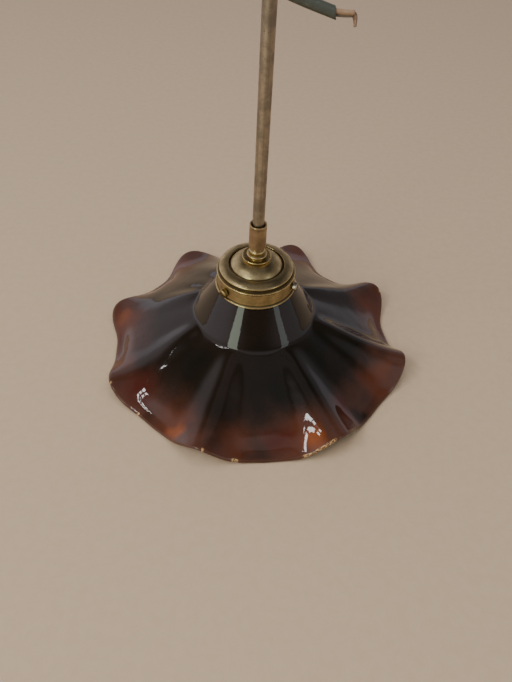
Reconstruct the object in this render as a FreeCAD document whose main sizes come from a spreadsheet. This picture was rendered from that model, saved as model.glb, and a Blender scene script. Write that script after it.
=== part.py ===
"""Rod-hung pendant lamp with a ruffled glass shade: a parametric FreeCAD document.

Frame: millimetres, +Z up along the rod, origin on the rod's axis at the height of the shade's
lowest rim points, where the lamp stands. Azimuths are measured from -Y towards +X.
"""
import FreeCAD, Part
import math
import os
import re
import Sketcher
from FreeCAD import Placement, Rotation, Vector

# ---------------------------------------------------------------- driving dimensions

SIZES = {
    # ruffled glass shade
    "glass_wall": 3.6,
    "neck_gap": 1.2,            # between the glass and the gallery's lower edge
    "neck_height": 82.0,        # height of that place above the rim
    "cone_radius": 55.7,        # where the smooth cone ends and the lobes begin, mid glass
    "cone_foot_height": 44.6,
    "rim_radius": 141.0,        # the rim's middle radius
    "valley_inset": 6.75,       # how far inside it the valleys end, on average
    "crest_reach": 8.7,         # how far outside it the crests end
    "crest_height": 14.6,       # mean height of a crest's rim, mid glass
    "rim_sway": 8.7,            # how much farther the valleys reach at one side than the mean
    "crest_sway": 8.0,          # how much higher the crests stand at one side than the mean
    "lobe_count": 8,
    "first_lobe_azimuth": 32.0,
    "collar_height": 15.0,      # fitter collar, from the neck up to its top edge
    "collar_lip": 1.2,          # how far the bead at the top stands out
    "collar_gap": 1.0,          # between that bead and the gallery's skirt
    # spun brass gallery
    "gallery_sheet": 1.2,
    "gallery_skirt": 69.0,      # outer diameter of the skirt
    "gallery_height": 29.0,
    "skirt_height": 15.3,
    "bead_rise": 1.0,           # how far the beads stand out from the skirt
    "gallery_table": 24.0,      # flat on top, under the saucer
    "gallery_dome": 48.6,       # outer diameter of the dome, inside its groove
    "dome_drop": 7.0,           # from the flat down to the dome's groove
    "dome_curve": 17.0,         # radius of the dome's and the ovolo's section
    "screw_hole": 4.0,
    "screw_level": 7.0,         # above the gallery's lower edge
    "screw_azimuth": 73.0,
    "screw_count": 3,
    # glass screws
    "screw_shank": 3.6,
    "screw_head": 8.2,
    "screw_head_length": 4.0,
    "screw_slot": 0.9,
    "tip_gap": 0.3,             # between screw tip and glass collar
    # saucer, rings, coupling
    "saucer_outer": 26.1,
    "saucer_floor": 1.2,
    "saucer_lip": 2.8,
    "spacer_outer": 18.0,
    "spacer_height": 5.0,
    "ring_nut_outer": 14.0,
    "ring_nut_height": 4.6,
    "coupling_outer": 15.1,
    "coupling_length": 25.2,
    "coupling_mouth": 12.4,
    "coupling_mouth_depth": 7.0,
    # rod, nipple and threads
    "rod_outer": 10.0,
    "rod_thread": 16.0,         # threaded length at the rod's top
    "rod_length": 250.0,
    "rod_engaged": 12.0,
    "bore_gap": 0.45,           # between the flex and the nipple's bore
    "nipple_above": 11.0,       # how far the nipple reaches into the coupling
    "thread_gap": 0.1,          # radial play in a threaded hole
    "bush_wall": 0.6,
    "bush_rim": 1.5,
    "bush_depth": 8.0,
    # washer and lock nut under the gallery
    "washer_outer": 20.0,
    "washer_height": 1.0,
    "nut_across": 16.0,         # over the corners
    "nut_height": 3.0,
    # lampholder
    "boss_outer": 14.4,
    "boss_height": 8.0,
    "cap_outer": 36.8,
    "cap_height": 24.0,         # from the lock nut to the cap's open edge
    "holder_sheet": 0.9,
    "sleeve_length": 35.0,
    "sleeve_overlap": 5.0,
    "sleeve_lip": 2.6,
    "liner_wall": 1.0,
    "insulator_height": 3.0,
    "insulator_post": 5.0,
    "shell_play": 2.2,          # from the liner to the shell's bore, which clears an E27 lamp cap
    "shell_length": 21.0,
    "shell_thread": 16.2,       # the part of it that grips the lamp cap
    "shell_relief": 0.6,        # how far it widens above that
    "shell_sheet": 0.5,
    "leaf_width": 5.0,
    "leaf_sheet": 0.5,
    "leaf_inset": 5.2,          # from the shell's bore to the leaf's fixed end
    "leaf_drop": 3.4,
    "leaf_nose": 2.0,           # half the length of its pressed-down middle
    "terminal_span": 17.0,      # between the two terminals' middles
    "terminal_length": 7.0,
    "terminal_width": 6.0,
    "terminal_height": 6.5,
    "wire_hole": 2.6,
    "wire_hole_in": 2.4,        # from a terminal's near face to its wire hole
    "terminal_floor": 1.5,      # under that hole
    "clamp_screw": 2.9,
    "grub_screw": 2.9,
    "fit_gap": 0.1,             # radial play between nested holder pieces
    # flex
    "flex_outer": 6.5,
    "core_outer": 2.2,
    "lead_core_outer": 2.8,
    "lead_core_length": 12.5,
    "copper_outer": 1.8,
    "copper_length": 9.0,
}

doc = FreeCAD.newDocument("pendant_lamp")
sheet = doc.addObject("Spreadsheet::Sheet", "Sizes")
for row, (alias, number) in enumerate(SIZES.items(), start=1):
    sheet.set(f"A{row}", alias)
    sheet.set(f"B{row}", str(number))
    sheet.setAlias(f"B{row}", alias)
doc.recompute()

ALIASES = re.compile(r"\b(" + "|".join(sorted(SIZES, key=len, reverse=True)) + r")\b")
PARTS = []


def bound(text):
    """The expression with each alias written as a cell of the sheet."""
    return ALIASES.sub(r"Sizes.\1", text)


def value(text):
    """What an expression of sheet cells comes to, as a plain number."""
    return float(sheet.evalExpression(bound(text)))


def bind(target, **expressions):
    for prop, text in expressions.items():
        target.setExpression(prop.replace("__", "."), bound(text))


# ---------------------------------------------------------------- heights up the axis

SCREW_Z = "(neck_height + screw_level)"
COLLAR_TOP = "(neck_height + collar_height)"
GALLERY_TOP = "(neck_height + gallery_height)"
SAUCER_TOP = f"({GALLERY_TOP} + saucer_floor)"
SPACER_TOP = f"({SAUCER_TOP} + spacer_height)"
COUPLING_FOOT = f"({SPACER_TOP} + ring_nut_height)"
COUPLING_TOP = f"({COUPLING_FOOT} + coupling_length)"
ROD_FOOT = f"({COUPLING_TOP} - rod_engaged)"
ROD_TOP = f"({ROD_FOOT} + rod_length)"
WASHER_TOP = f"({GALLERY_TOP} - gallery_sheet)"
NUT_TOP = f"({WASHER_TOP} - washer_height)"
CAP_TOP = f"({NUT_TOP} - nut_height)"
NIPPLE_FOOT = f"({CAP_TOP} - boss_height)"
GRUB_Z = f"({CAP_TOP} - boss_height / 2)"
CAP_FOOT = f"({CAP_TOP} - cap_height)"
SLEEVE_TOP = f"({CAP_FOOT} + sleeve_overlap)"
SLEEVE_FOOT = f"({SLEEVE_TOP} - sleeve_length)"
SHELL_FOOT = f"({SLEEVE_FOOT} + 4 * holder_sheet)"
SHELL_TOP = f"({SHELL_FOOT} + shell_length)"
TERMINAL_Z = f"({SHELL_TOP} + insulator_height)"
THREAD_R = "(rod_outer / 2 + thread_gap)"
GALLERY_R = "(gallery_skirt / 2 - gallery_sheet)"
GALLERY_MOUTH = f"({GALLERY_R} + 1.9)"
NECK_R = f"({GALLERY_MOUTH} - neck_gap)"
COLLAR_R = f"({GALLERY_R} - collar_gap - collar_lip)"
SLEEVE_R = "(cap_outer / 2 - holder_sheet - fit_gap)"
LINER_R = f"({SLEEVE_R} - holder_sheet - fit_gap)"
SHELL_R = f"({LINER_R} - liner_wall - shell_play)"
LEAF_ANCHOR = f"({SHELL_R} - leaf_inset)"
FLEX_EXIT = f"({ROD_TOP} + bush_rim)"
ROD_BORE_R = "(flex_outer / 2 + fit_gap + bush_wall + 0.05)"


# ---------------------------------------------------------------- drawing helpers


def add(kind, label):
    """A document object that is a sub-part of its own."""
    piece = doc.addObject(kind, label)
    piece.Label = label
    PARTS.append(piece)
    return piece


def plane(body, role):
    return next(f for f in body.Origin.OriginFeatures if f.Role == role)


def sketch_on(body, role, name):
    sketch = body.newObject("Sketcher::SketchObject", name)
    sketch.AttachmentSupport = [(plane(body, role), "")]
    sketch.MapMode = "FlatFace"
    return sketch


def arc_between(start, end, radius):
    """An arc of a circle that turns left for a positive radius and right for a negative one."""
    chord = end.sub(start)
    side = Vector(-chord.y, chord.x, 0).normalize()
    reach = math.sqrt(max(radius**2 - (chord.Length / 2) ** 2, 0.0))
    centre = (start + end) * 0.5 + side * math.copysign(reach, radius)
    first, last = (start, end) if radius > 0 else (end, start)
    turn = [math.atan2(p.y - centre.y, p.x - centre.x) for p in (first, last)]
    if turn[1] < turn[0]:
        turn[1] += 2 * math.pi
    return Part.ArcOfCircle(Part.Circle(centre, Vector(0, 0, 1), abs(radius)), turn[0], turn[1])


def pin_coordinate(sketch, geometry, end, axis, text):
    """Holds one coordinate of a sketch point at an expression's value, or on the other axis for 0."""
    if text == "0":
        line = -2 if axis == "X" else -1
        sketch.addConstraint(Sketcher.Constraint("PointOnObject", geometry, end, line))
        return
    limit = Sketcher.Constraint("Distance" + axis, -1, 1, geometry, end, value(text))
    index = sketch.addConstraint(limit)
    sketch.setExpression(f"Constraints[{index}]", bound(text))


def outline(sketch, corners):
    """A closed outline of (x, y) or (x, y, radius) corners; the radius bends the edge up to it."""
    points = [Vector(value(c[0]), value(c[1]), 0) for c in corners]
    edges = []
    for i, start in enumerate(points):
        j = (i + 1) % len(points)
        if len(corners[j]) == 3:
            radius = value(corners[j][2])
            geometry = sketch.addGeometry(arc_between(start, points[j], radius), False)
            index = sketch.addConstraint(Sketcher.Constraint("Radius", geometry, abs(radius)))
            sketch.setExpression(f"Constraints[{index}]", bound(f"abs({corners[j][2]})"))
            edges.append((geometry, 1, 2) if radius > 0 else (geometry, 2, 1))
        else:
            geometry = sketch.addGeometry(Part.LineSegment(start, points[j]), False)
            edges.append((geometry, 1, 2))
    for i, (geometry, head, _) in enumerate(edges):
        before, _, tail = edges[i - 1]
        sketch.addConstraint(Sketcher.Constraint("Coincident", before, tail, geometry, head))
        pin_coordinate(sketch, geometry, head, "X", corners[i][0])
        pin_coordinate(sketch, geometry, head, "Y", corners[i][1])


def turned(label, corners):
    """A sub-part turned about its own Z axis from a half section of (radius, height) corners."""
    body = add("PartDesign::Body", label)
    sketch = sketch_on(body, "XZ_Plane", label + "_section")
    outline(sketch, corners)
    turn = body.newObject("PartDesign::Revolution", label + "_turn")
    turn.Profile = sketch
    turn.ReferenceAxis = (sketch, ["V_Axis"])
    turn.Angle = 360
    sketch.Visibility = False
    return body


def tube(label, outer, inner, foot, top):
    """A plain turned tube between two heights."""
    return turned(label, [(inner, foot), (outer, foot), (outer, top), (inner, top)])


def slot_through(body, name, half_width, low, high):
    """Cuts a slot across the body's Z axis, between two heights."""
    sketch = sketch_on(body, "XZ_Plane", name + "_outline")
    left = f"(0 - {half_width})"
    outline(sketch, [(left, low), (half_width, low), (half_width, high), (left, high)])
    cut_from(body, sketch, name, Midplane=True)


def cut_from(body, sketch, name, **settings):
    """A pocket that runs right through, checked by the volume it takes away."""
    doc.recompute()
    before = body.Shape.Volume
    pocket = body.newObject("PartDesign::Pocket", name)
    pocket.Profile = sketch
    pocket.Type = 1
    for prop, setting in settings.items():
        setattr(pocket, prop, setting)
    doc.recompute()
    if body.Shape.Volume >= before:
        raise RuntimeError(f"{name} cuts nothing")
    return pocket


def cross_hole(body, name, level, diameter):
    """Drills from the axis out through the -Y side at one height, and returns the cut."""
    sketch = sketch_on(body, "XZ_Plane", name + "_outline")
    circle = Part.Circle(Vector(0, value(level), 0), Vector(0, 0, 1), value(diameter) / 2)
    hole = sketch.addGeometry(circle, False)
    pin_coordinate(sketch, hole, 3, "X", "0")
    pin_coordinate(sketch, hole, 3, "Y", level)
    width = sketch.addConstraint(Sketcher.Constraint("Diameter", hole, value(diameter)))
    sketch.setExpression(f"Constraints[{width}]", bound(diameter))
    return cut_from(body, sketch, name, Reversed=True)


def place_radially(piece, azimuth):
    """Lays a turned piece's Z axis along the radius at an azimuth, at the screws' level."""
    turn = Rotation(Vector(0, 0, 1), value(azimuth)) * Rotation(Vector(1, 0, 0), 90)
    piece.Placement = Placement(Vector(0, 0, value(SCREW_Z)), turn)
    bind(piece, Placement__Base__z=SCREW_Z)


# ---------------------------------------------------------------- glass shade

AROUND = 128          # poles round the shade

# Stations from neck (0) to rim (1) along the glass, closest where the cone meets the lobes.
REACHES = (0.0, 0.06, 0.12, 0.17, 0.2, 0.225, 0.25, 0.29, 0.36, 0.44, 0.53, 0.62, 0.71, 0.8, 0.88, 0.94,
           0.98, 1.0)


def soft_max(a, b, blend):
    """The larger of two heights, with the corner between them rounded."""
    return (a + b + math.sqrt((a - b) ** 2 + blend**2)) / 2


class Shade:
    """The middle surface of the glass: a smooth cone, then lobes whose ridges grow towards the rim.

    A point is found from t, 0 at the neck and 1 at the rim, and from a base angle. The lobes are
    evenly spaced in the base angle; the azimuth departs a little from it, as in blown glass.
    """

    def __init__(self):
        self.wall = value("glass_wall")
        self.neck_r = value(NECK_R) - 0.45 * self.wall
        self.neck_z = value("neck_height")
        self.rim_r = value("rim_radius") - 0.45 * self.wall
        self.valley_r = self.rim_r - value("valley_inset")
        self.crest_r = self.rim_r + value("crest_reach")
        self.foot_t = (value("cone_radius") - self.neck_r) / (self.rim_r - self.neck_r)
        self.foot_z = value("cone_foot_height")
        self.crest_z = value("crest_height")
        self.rim_sway = value("rim_sway")
        self.crest_sway = value("crest_sway")
        self.lobes = value("lobe_count")
        self.first = math.radians(value("first_lobe_azimuth"))

    def lobe(self, base):
        """1 on a crest and 0 in a valley."""
        return (1 + math.cos(self.lobes * (base - self.first))) / 2

    def azimuth(self, base):
        crowding = 1.9 * math.sin(base) + 1.6 * math.cos(2 * base - math.radians(120)) - 1.2
        return base + math.radians(crowding)

    def rim_radius(self, base):
        """The rim is widest a little to the front of each crest."""
        turn = self.azimuth(base)
        valley = self.valley_r + self.rim_sway * math.cos(turn - math.radians(13))
        valley -= 0.2 * self.rim_sway * math.cos(2 * turn)
        crest = self.crest_r + 0.15 * (self.crest_r - self.rim_r) * (math.sin(turn) - math.cos(turn))
        lean = math.radians(3.5 * math.sin(turn))
        return valley + (crest - valley) * self.lobe(base + lean) ** 1.5

    def crest_rim(self, base):
        return self.crest_z + self.crest_sway * math.cos(self.azimuth(base) - math.radians(45))

    def point(self, t, base):
        past_foot = max((t - self.foot_t) / (1 - self.foot_t), 0.0)
        radius = self.neck_r + (self.rim_r - self.neck_r) * t
        radius += (self.rim_radius(base) - self.rim_r) * past_foot**3
        cone = self.neck_z - (self.neck_z - self.foot_z) * t / self.foot_t
        valley = self.foot_z + (self.wall / 2 - self.foot_z) * past_foot
        ease = past_foot**0.9
        ridge = self.foot_z + (self.crest_rim(base) - self.foot_z) * ease**2 * (3 - 2 * ease)
        lift = self.lobe(base) ** (1.6 + 1.4 * past_foot)
        height = soft_max(cone, valley + (ridge - valley) * lift, 0.45 * self.wall)
        turn = self.azimuth(base)
        return Vector(radius * math.sin(turn), -radius * math.cos(turn), height)

    def normal(self, t, base):
        step = 1e-3
        along = self.point(t + step, base) - self.point(t - step, base)
        around = self.point(t, base + step) - self.point(t, base - step)
        return around.cross(along).normalize() * -1


def collar_section(shade):
    """The outer and inner skins of the fitter collar as (radius, height) pairs, top edge first."""
    outer = value(COLLAR_R)
    inner = outer - shade.wall
    top = value(COLLAR_TOP)
    lip = outer + value("collar_lip")
    neck_z = shade.neck_z
    skin = [(outer, top), (lip, top - 0.6), (lip, top - 2.6), (outer, top - 3.6), (outer, top - 6.0)]
    skin += [(outer, neck_z + 6.6), (outer + 0.4, neck_z + 4.6)]
    lining = [(inner, neck_z + 4.2), (inner, neck_z + 8.0), (inner, top - 3.0), (inner, top)]
    return skin, lining


def shade_loop(shade, base, skin, lining):
    """The closed section through the glass at one base angle: out over the top, back below."""
    turn = shade.azimuth(base)
    ring = [Vector(r * math.sin(turn), -r * math.cos(turn), z) for r, z in skin]
    half = shade.wall / 2
    over = [shade.point(t, base) + shade.normal(t, base) * half for t in REACHES]
    under = [shade.point(t, base) - shade.normal(t, base) * half for t in REACHES]
    end = shade.point(1.0, base)
    tip = (end - shade.point(0.98, base)).normalize() * half
    edge = [over[-1] + tip * 0.8, end + tip * 1.2, under[-1] + tip * 0.8]
    back = [Vector(r * math.sin(turn), -r * math.cos(turn), z) for r, z in lining]
    return ring + over + edge + under[::-1] + back


def glass_shade():
    shade = Shade()
    skin, lining = collar_section(shade)
    bases = [2 * math.pi * k / AROUND for k in range(AROUND)]
    poles = [shade_loop(shade, base, skin, lining) for base in bases]
    around, along = len(poles), len(poles[0])
    surface = Part.BSplineSurface()
    surface.buildFromPolesMultsKnots(
        poles, [1] * (around + 1), [1] * (along + 1),
        list(range(around + 1)), list(range(along + 1)), True, True, 3, 3)
    solid = Part.Solid(Part.Shell([surface.toShape()]))
    if solid.Volume < 0:
        solid.reverse()
    piece = add("Part::Feature", "glass_shade")
    piece.Shape = solid
    piece.Placement = Placement(Vector(0, 0, -solid.optimalBoundingBox(True, False).ZMin), Rotation())


# ---------------------------------------------------------------- gallery and its screws


def gallery_cap():
    """Spun cap: dome, groove, ovolo, groove, bead, skirt and a lower bead, all one sheet."""
    skirt = "(gallery_skirt / 2)"
    inner = GALLERY_R
    foot = "neck_height"
    bead = "(neck_height + skirt_height)"
    dome = "(gallery_dome / 2)"
    groove = f"({GALLERY_TOP} - dome_drop)"
    corners = [
        (THREAD_R, f"{GALLERY_TOP} - gallery_sheet"),
        ("gallery_table / 2", f"{GALLERY_TOP} - gallery_sheet"),
        (f"{dome} - 1.9", f"{groove} - 0.9", "gallery_sheet - dome_curve"),
        (f"{inner} - 1.8", f"{bead} + 2.2", "gallery_sheet - dome_curve"),
        (f"{inner} - 0.4", f"{bead} + 0.4"),
        (inner, f"{bead} - 1.6"),
        (f"{inner} + 0.5", f"{foot} + 2.6"),
        (GALLERY_MOUTH, foot),
        (f"{skirt} + 1.6 * bead_rise + 0.3", foot),
        (f"{skirt} + 1.6 * bead_rise + 0.3", f"{foot} + 1.3", "0.75"),
        (f"{skirt} + 0.4", f"{foot} + 2.4"),
        (skirt, f"{bead} - 1.5"),
        (f"{skirt} + 0.4 * bead_rise", f"{bead} - 1.0"),
        (f"{skirt} + 0.4 * bead_rise", f"{bead} + 0.8", "1.0"),
        (f"{skirt} - 1.2", f"{bead} + 1.6"),
        (f"{skirt} - 1.2", f"{bead} + 4.2", "1.6"),
        (dome, f"{groove} + 0.4", "dome_curve"),
        (f"{dome} - 1.0", groove),
        ("gallery_table / 2", GALLERY_TOP, "dome_curve"),
        (THREAD_R, GALLERY_TOP),
    ]
    body = turned("gallery_cap", corners)
    drill = cross_hole(body, "screw_hole", SCREW_Z, "screw_hole")
    ring = body.newObject("PartDesign::PolarPattern", "screw_holes")
    ring.Originals = [drill]
    ring.Axis = (drill.Profile[0], ["V_Axis"])
    ring.Angle = 360
    ring.setExpression("Occurrences", bound("screw_count"))
    body.Tip = ring
    doc.recompute()
    body.Placement = Placement(Vector(0, 0, 0), Rotation(Vector(0, 0, 1), value("screw_azimuth")))
    body.setExpression("Placement.Rotation.Angle", bound("screw_azimuth * 1deg"))
    return body


def gallery_screw(number):
    """A slotted round-headed screw through the skirt, tip close to the glass collar."""
    tip = f"({COLLAR_R} + tip_gap)"
    neck = "(gallery_skirt / 2 + 1.0)"
    end = f"({neck} + screw_head_length)"
    corners = [
        ("0", tip),
        ("screw_shank / 2 - 0.7", tip),
        ("screw_shank / 2", f"{tip} + 0.7"),
        ("screw_shank / 2", neck),
        ("screw_head / 2", neck),
        ("screw_head / 2", f"{end} - 1.0"),
        ("screw_head / 2 - 1.0", end, "1.02"),
        ("0", end),
    ]
    body = turned(f"gallery_screw_{number}", corners)
    slot_through(body, f"screw_slot_{number}", "(screw_slot / 2)", f"({end} - 1.4)", f"({end} + 1)")
    place_radially(body, f"(screw_azimuth + 360 / screw_count * {number - 1})")
    return body


# ---------------------------------------------------------------- saucer, rings, coupling, rod


def saucer_collar():
    rim = "(saucer_outer / 2 - 0.4)"
    turned("saucer_collar", [
        (THREAD_R, GALLERY_TOP),
        (f"{rim} - 2.6", GALLERY_TOP),
        (rim, f"{GALLERY_TOP} + saucer_lip - 1.1", "5"),
        (rim, f"{GALLERY_TOP} + saucer_lip", "0.58"),
        (f"{rim} - 1.1", f"{GALLERY_TOP} + saucer_lip - 0.5", "0.75"),
        (f"{rim} - 3.4", SAUCER_TOP, "-4.4"),
        (THREAD_R, SAUCER_TOP),
    ])


def spacer_ring():
    rim = "(spacer_outer / 2 - 0.5)"
    turned("spacer_ring", [
        (THREAD_R, SAUCER_TOP),
        (f"{rim} - 1.6", SAUCER_TOP),
        (f"{rim} - 1.6", f"{SAUCER_TOP} + 1.6"),
        (rim, f"{SAUCER_TOP} + 2.4"),
        (rim, f"{SPACER_TOP} - 0.7", "1.1"),
        (f"{rim} - 1.2", SPACER_TOP),
        (THREAD_R, SPACER_TOP),
    ])


def ring_nut():
    rim = "(ring_nut_outer / 2 - 0.3)"
    turned("ring_nut", [
        (THREAD_R, SPACER_TOP),
        (f"{rim} - 0.8", SPACER_TOP),
        (f"{rim} - 0.8", f"{COUPLING_FOOT} - 0.8", "2.2"),
        (f"{rim} - 0.8", COUPLING_FOOT),
        (THREAD_R, COUPLING_FOOT),
    ])


def rod_coupling():
    """Turned sleeve that joins nipple and rod, with a coved foot and an open countersunk mouth."""
    side = "(coupling_outer / 2)"
    mouth = "(coupling_mouth / 2)"
    turned("rod_coupling", [
        (THREAD_R, COUPLING_FOOT),
        (f"{side} - 1.5", COUPLING_FOOT),
        (f"{side} - 0.9", f"{COUPLING_FOOT} + 1.0", "-1.2"),
        (side, f"{COUPLING_FOOT} + 2.2"),
        (side, f"{COUPLING_TOP} - 0.6"),
        (f"{side} - 0.5", COUPLING_TOP, "0.65"),
        (f"{mouth} + 0.5", COUPLING_TOP),
        (mouth, f"{COUPLING_TOP} - 0.9"),
        (mouth, f"{COUPLING_TOP} - coupling_mouth_depth"),
        (THREAD_R, f"{COUPLING_TOP} - coupling_mouth_depth - 1.1"),
    ])


def rod_tube():
    """Plain tube, threaded at its top above a small relief groove."""
    side = "(rod_outer / 2)"
    groove = f"(0.4 * {ROD_BORE_R} + 0.6 * {side})"
    thread_foot = f"({ROD_TOP} - rod_thread)"
    turned("rod_tube", [
        (ROD_BORE_R, ROD_FOOT),
        (side, ROD_FOOT),
        (side, f"{thread_foot} - 1.2"),
        (groove, f"{thread_foot} - 1.2"),
        (groove, thread_foot),
        (f"{side} - thread_gap", thread_foot),
        (f"{side} - thread_gap", ROD_TOP),
        (ROD_BORE_R, ROD_TOP),
    ])


def rod_bush():
    """Insulating bush pressed into the rod's open end, so that its edge can't cut the flex."""
    bore = "(flex_outer / 2 + fit_gap)"
    spigot = "(flex_outer / 2 + fit_gap + bush_wall)"
    flange = f"({ROD_BORE_R} + 0.35)"
    turned("rod_bush", [
        (bore, f"{ROD_TOP} - bush_depth"),
        (spigot, f"{ROD_TOP} - bush_depth"),
        (spigot, ROD_TOP),
        (flange, ROD_TOP),
        (flange, f"{FLEX_EXIT} - 0.5"),
        (f"{flange} - 0.5", FLEX_EXIT, "0.52"),
        (bore, FLEX_EXIT),
    ])


def hollow_nipple():
    bore = "(flex_outer / 2 + bore_gap)"
    tube("hollow_nipple", "rod_outer / 2", bore, NIPPLE_FOOT, f"{COUPLING_FOOT} + nipple_above")


def inner_washer():
    tube("inner_washer", "washer_outer / 2", THREAD_R, NUT_TOP, WASHER_TOP)


def inner_lock_nut():
    """Hexagonal nut that clamps the gallery against the saucer."""
    blank = doc.addObject("Part::Prism", "lock_nut_blank")
    blank.Polygon = 6
    bind(blank, Circumradius="nut_across / 2", Height="nut_height")
    drill = doc.addObject("Part::Cylinder", "lock_nut_hole")
    bind(drill, Radius=THREAD_R, Height="nut_height + 2", Placement__Base__z="0 - 1")
    nut = add("Part::Cut", "inner_lock_nut")
    nut.Base = blank
    nut.Tool = drill
    bind(nut, Placement__Base__z=CAP_TOP)


# ---------------------------------------------------------------- lampholder


def holder_cap():
    """Domed brass cap with a threaded boss, drilled across for its grub screw."""
    boss = "(boss_outer / 2)"
    skirt = "(cap_outer / 2)"
    shoulder = f"({CAP_TOP} - boss_height)"
    drum = f"({CAP_FOOT} + sleeve_overlap + 3)"
    body = turned("holder_cap", [
        (THREAD_R, CAP_TOP),
        (THREAD_R, f"{shoulder} - holder_sheet"),
        (f"{boss} + 0.6", f"{shoulder} - holder_sheet"),
        (f"{skirt} - holder_sheet", drum, "-14"),
        (f"{skirt} - holder_sheet", CAP_FOOT),
        (skirt, CAP_FOOT),
        (skirt, f"{drum} + 0.2"),
        (f"{boss} + 0.6", shoulder, "15"),
        (boss, f"{shoulder} + 0.6"),
        (boss, CAP_TOP),
    ])
    cross_hole(body, "grub_hole", GRUB_Z, "(grub_screw + 2 * fit_gap)")


def holder_grub_screw():
    """Headless screw in the boss that locks the cap on the nipple."""
    reach = "(boss_outer / 2 - rod_outer / 2 - 0.1)"
    body = turned("holder_grub_screw", [
        ("0", "0"),
        ("grub_screw / 2 - 0.4", "0"),
        ("grub_screw / 2", "0.4"),
        ("grub_screw / 2", reach),
        ("0", reach),
    ])
    slot_through(body, "grub_slot", "0.3", f"({reach} - 0.7)", f"({reach} + 1)")
    body.Placement = Placement(Vector(), Rotation(Vector(1, 0, 0), 90))
    bind(body, Placement__Base__y="0 - rod_outer / 2 - 0.05", Placement__Base__z=GRUB_Z)


def holder_sleeve():
    """Outer sleeve screwed into the cap; its turned-in lip carries the liner."""
    inner = f"({SLEEVE_R} - holder_sheet)"
    mouth = f"({SLEEVE_R} - sleeve_lip)"
    turned("holder_sleeve", [
        (mouth, SLEEVE_FOOT),
        (f"{SLEEVE_R} - 0.5", SLEEVE_FOOT),
        (SLEEVE_R, f"{SLEEVE_FOOT} + 0.5", "0.52"),
        (SLEEVE_R, SLEEVE_TOP),
        (inner, SLEEVE_TOP),
        (inner, f"{SLEEVE_FOOT} + holder_sheet"),
        (mouth, f"{SLEEVE_FOOT} + holder_sheet"),
    ])


def holder_liner():
    tube("holder_liner", LINER_R, f"{LINER_R} - liner_wall", f"{SLEEVE_FOOT} + holder_sheet", SHELL_TOP)


def holder_insulator():
    """Moulded disc on the liner's end, with a post between the two terminals."""
    post = "(terminal_span / 2 - terminal_length / 2 - 1.6)"
    turned("holder_insulator", [
        ("0", SHELL_TOP),
        (LINER_R, SHELL_TOP),
        (LINER_R, TERMINAL_Z),
        (post, TERMINAL_Z),
        (f"{post} - 0.6", f"{TERMINAL_Z} + insulator_post"),
        ("0", f"{TERMINAL_Z} + insulator_post"),
    ])


def screw_shell():
    """Plain stand-in for the rolled lamp-cap thread, wider above it, with a flange on top."""
    outer = f"({SHELL_R} + shell_sheet)"
    wide = f"({outer} + shell_relief)"
    thread_top = f"({SHELL_FOOT} + shell_thread)"
    turned("screw_shell", [
        (SHELL_R, SHELL_FOOT),
        (outer, SHELL_FOOT),
        (outer, f"{thread_top} - 0.1"),
        (wide, f"{thread_top} + 0.5"),
        (wide, f"{SHELL_TOP} - shell_sheet"),
        (f"{wide} + 0.6", f"{SHELL_TOP} - shell_sheet"),
        (f"{wide} + 0.6", SHELL_TOP),
        (f"{wide} - shell_sheet", SHELL_TOP),
        (f"{wide} - shell_sheet", f"{thread_top} + 0.6"),
        (SHELL_R, thread_top),
    ])


def centre_contact():
    """Springy leaf under the insulator that presses on the lamp cap's middle contact."""
    body = add("PartDesign::Body", "centre_contact")
    sketch = sketch_on(body, "XZ_Plane", "leaf_section")
    top = f"({SHELL_TOP} - 0.3)"
    low = f"({top} - leaf_drop)"
    outline(sketch, [
        (f"0 - {LEAF_ANCHOR} - 3", top),
        (f"0 - {LEAF_ANCHOR} - 3", f"{top} - leaf_sheet"),
        (f"0 - {LEAF_ANCHOR}", f"{top} - leaf_sheet"),
        ("0 - leaf_nose", f"{low} - leaf_sheet"),
        ("leaf_nose", f"{low} - leaf_sheet", "2.5 * leaf_nose"),
        ("1.6 * leaf_nose", f"{low} + 0.4"),
        ("1.45 * leaf_nose", f"{low} + 0.7"),
        ("0.9 * leaf_nose", low),
        ("0 - 0.9 * leaf_nose", low, "0 - 2.5 * leaf_nose"),
        (f"0 - {LEAF_ANCHOR} + 0.1", top),
    ])
    pad = body.newObject("PartDesign::Pad", "leaf_pad")
    pad.Profile = sketch
    pad.Midplane = True
    bind(pad, Length="leaf_width")


def terminal(label, side):
    """Brass terminal block on the insulator, drilled for its wire and its clamp screw."""
    block = doc.addObject("Part::Box", label + "_block")
    bind(block, Length="terminal_length", Width="terminal_width", Height="terminal_height",
         Placement__Base__x="0 - terminal_length / 2", Placement__Base__y="0 - terminal_width / 2")
    wire = doc.addObject("Part::Cylinder", label + "_wire_hole")
    bind(wire, Radius="wire_hole / 2", Height="terminal_height", Placement__Base__z="terminal_floor",
         Placement__Base__x="0 - terminal_length / 2 + wire_hole_in")
    clamp = doc.addObject("Part::Cylinder", label + "_clamp_hole")
    clamp.Placement = Placement(Vector(), Rotation(Vector(0, 1, 0), 90))
    bind(clamp, Radius="clamp_screw / 2 + fit_gap", Height="terminal_length",
         Placement__Base__x="0 - terminal_length / 2 + wire_hole_in",
         Placement__Base__z="terminal_height / 2")
    holes = doc.addObject("Part::Fuse", label + "_holes")
    holes.Base = wire
    holes.Tool = clamp
    piece = add("Part::Cut", label)
    piece.Base = block
    piece.Tool = holes
    piece.Placement = Placement(Vector(), Rotation(Vector(0, 0, 1), 0 if side > 0 else 180))
    bind(piece, Placement__Base__x=f"{side} * terminal_span / 2", Placement__Base__z=TERMINAL_Z)


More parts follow.
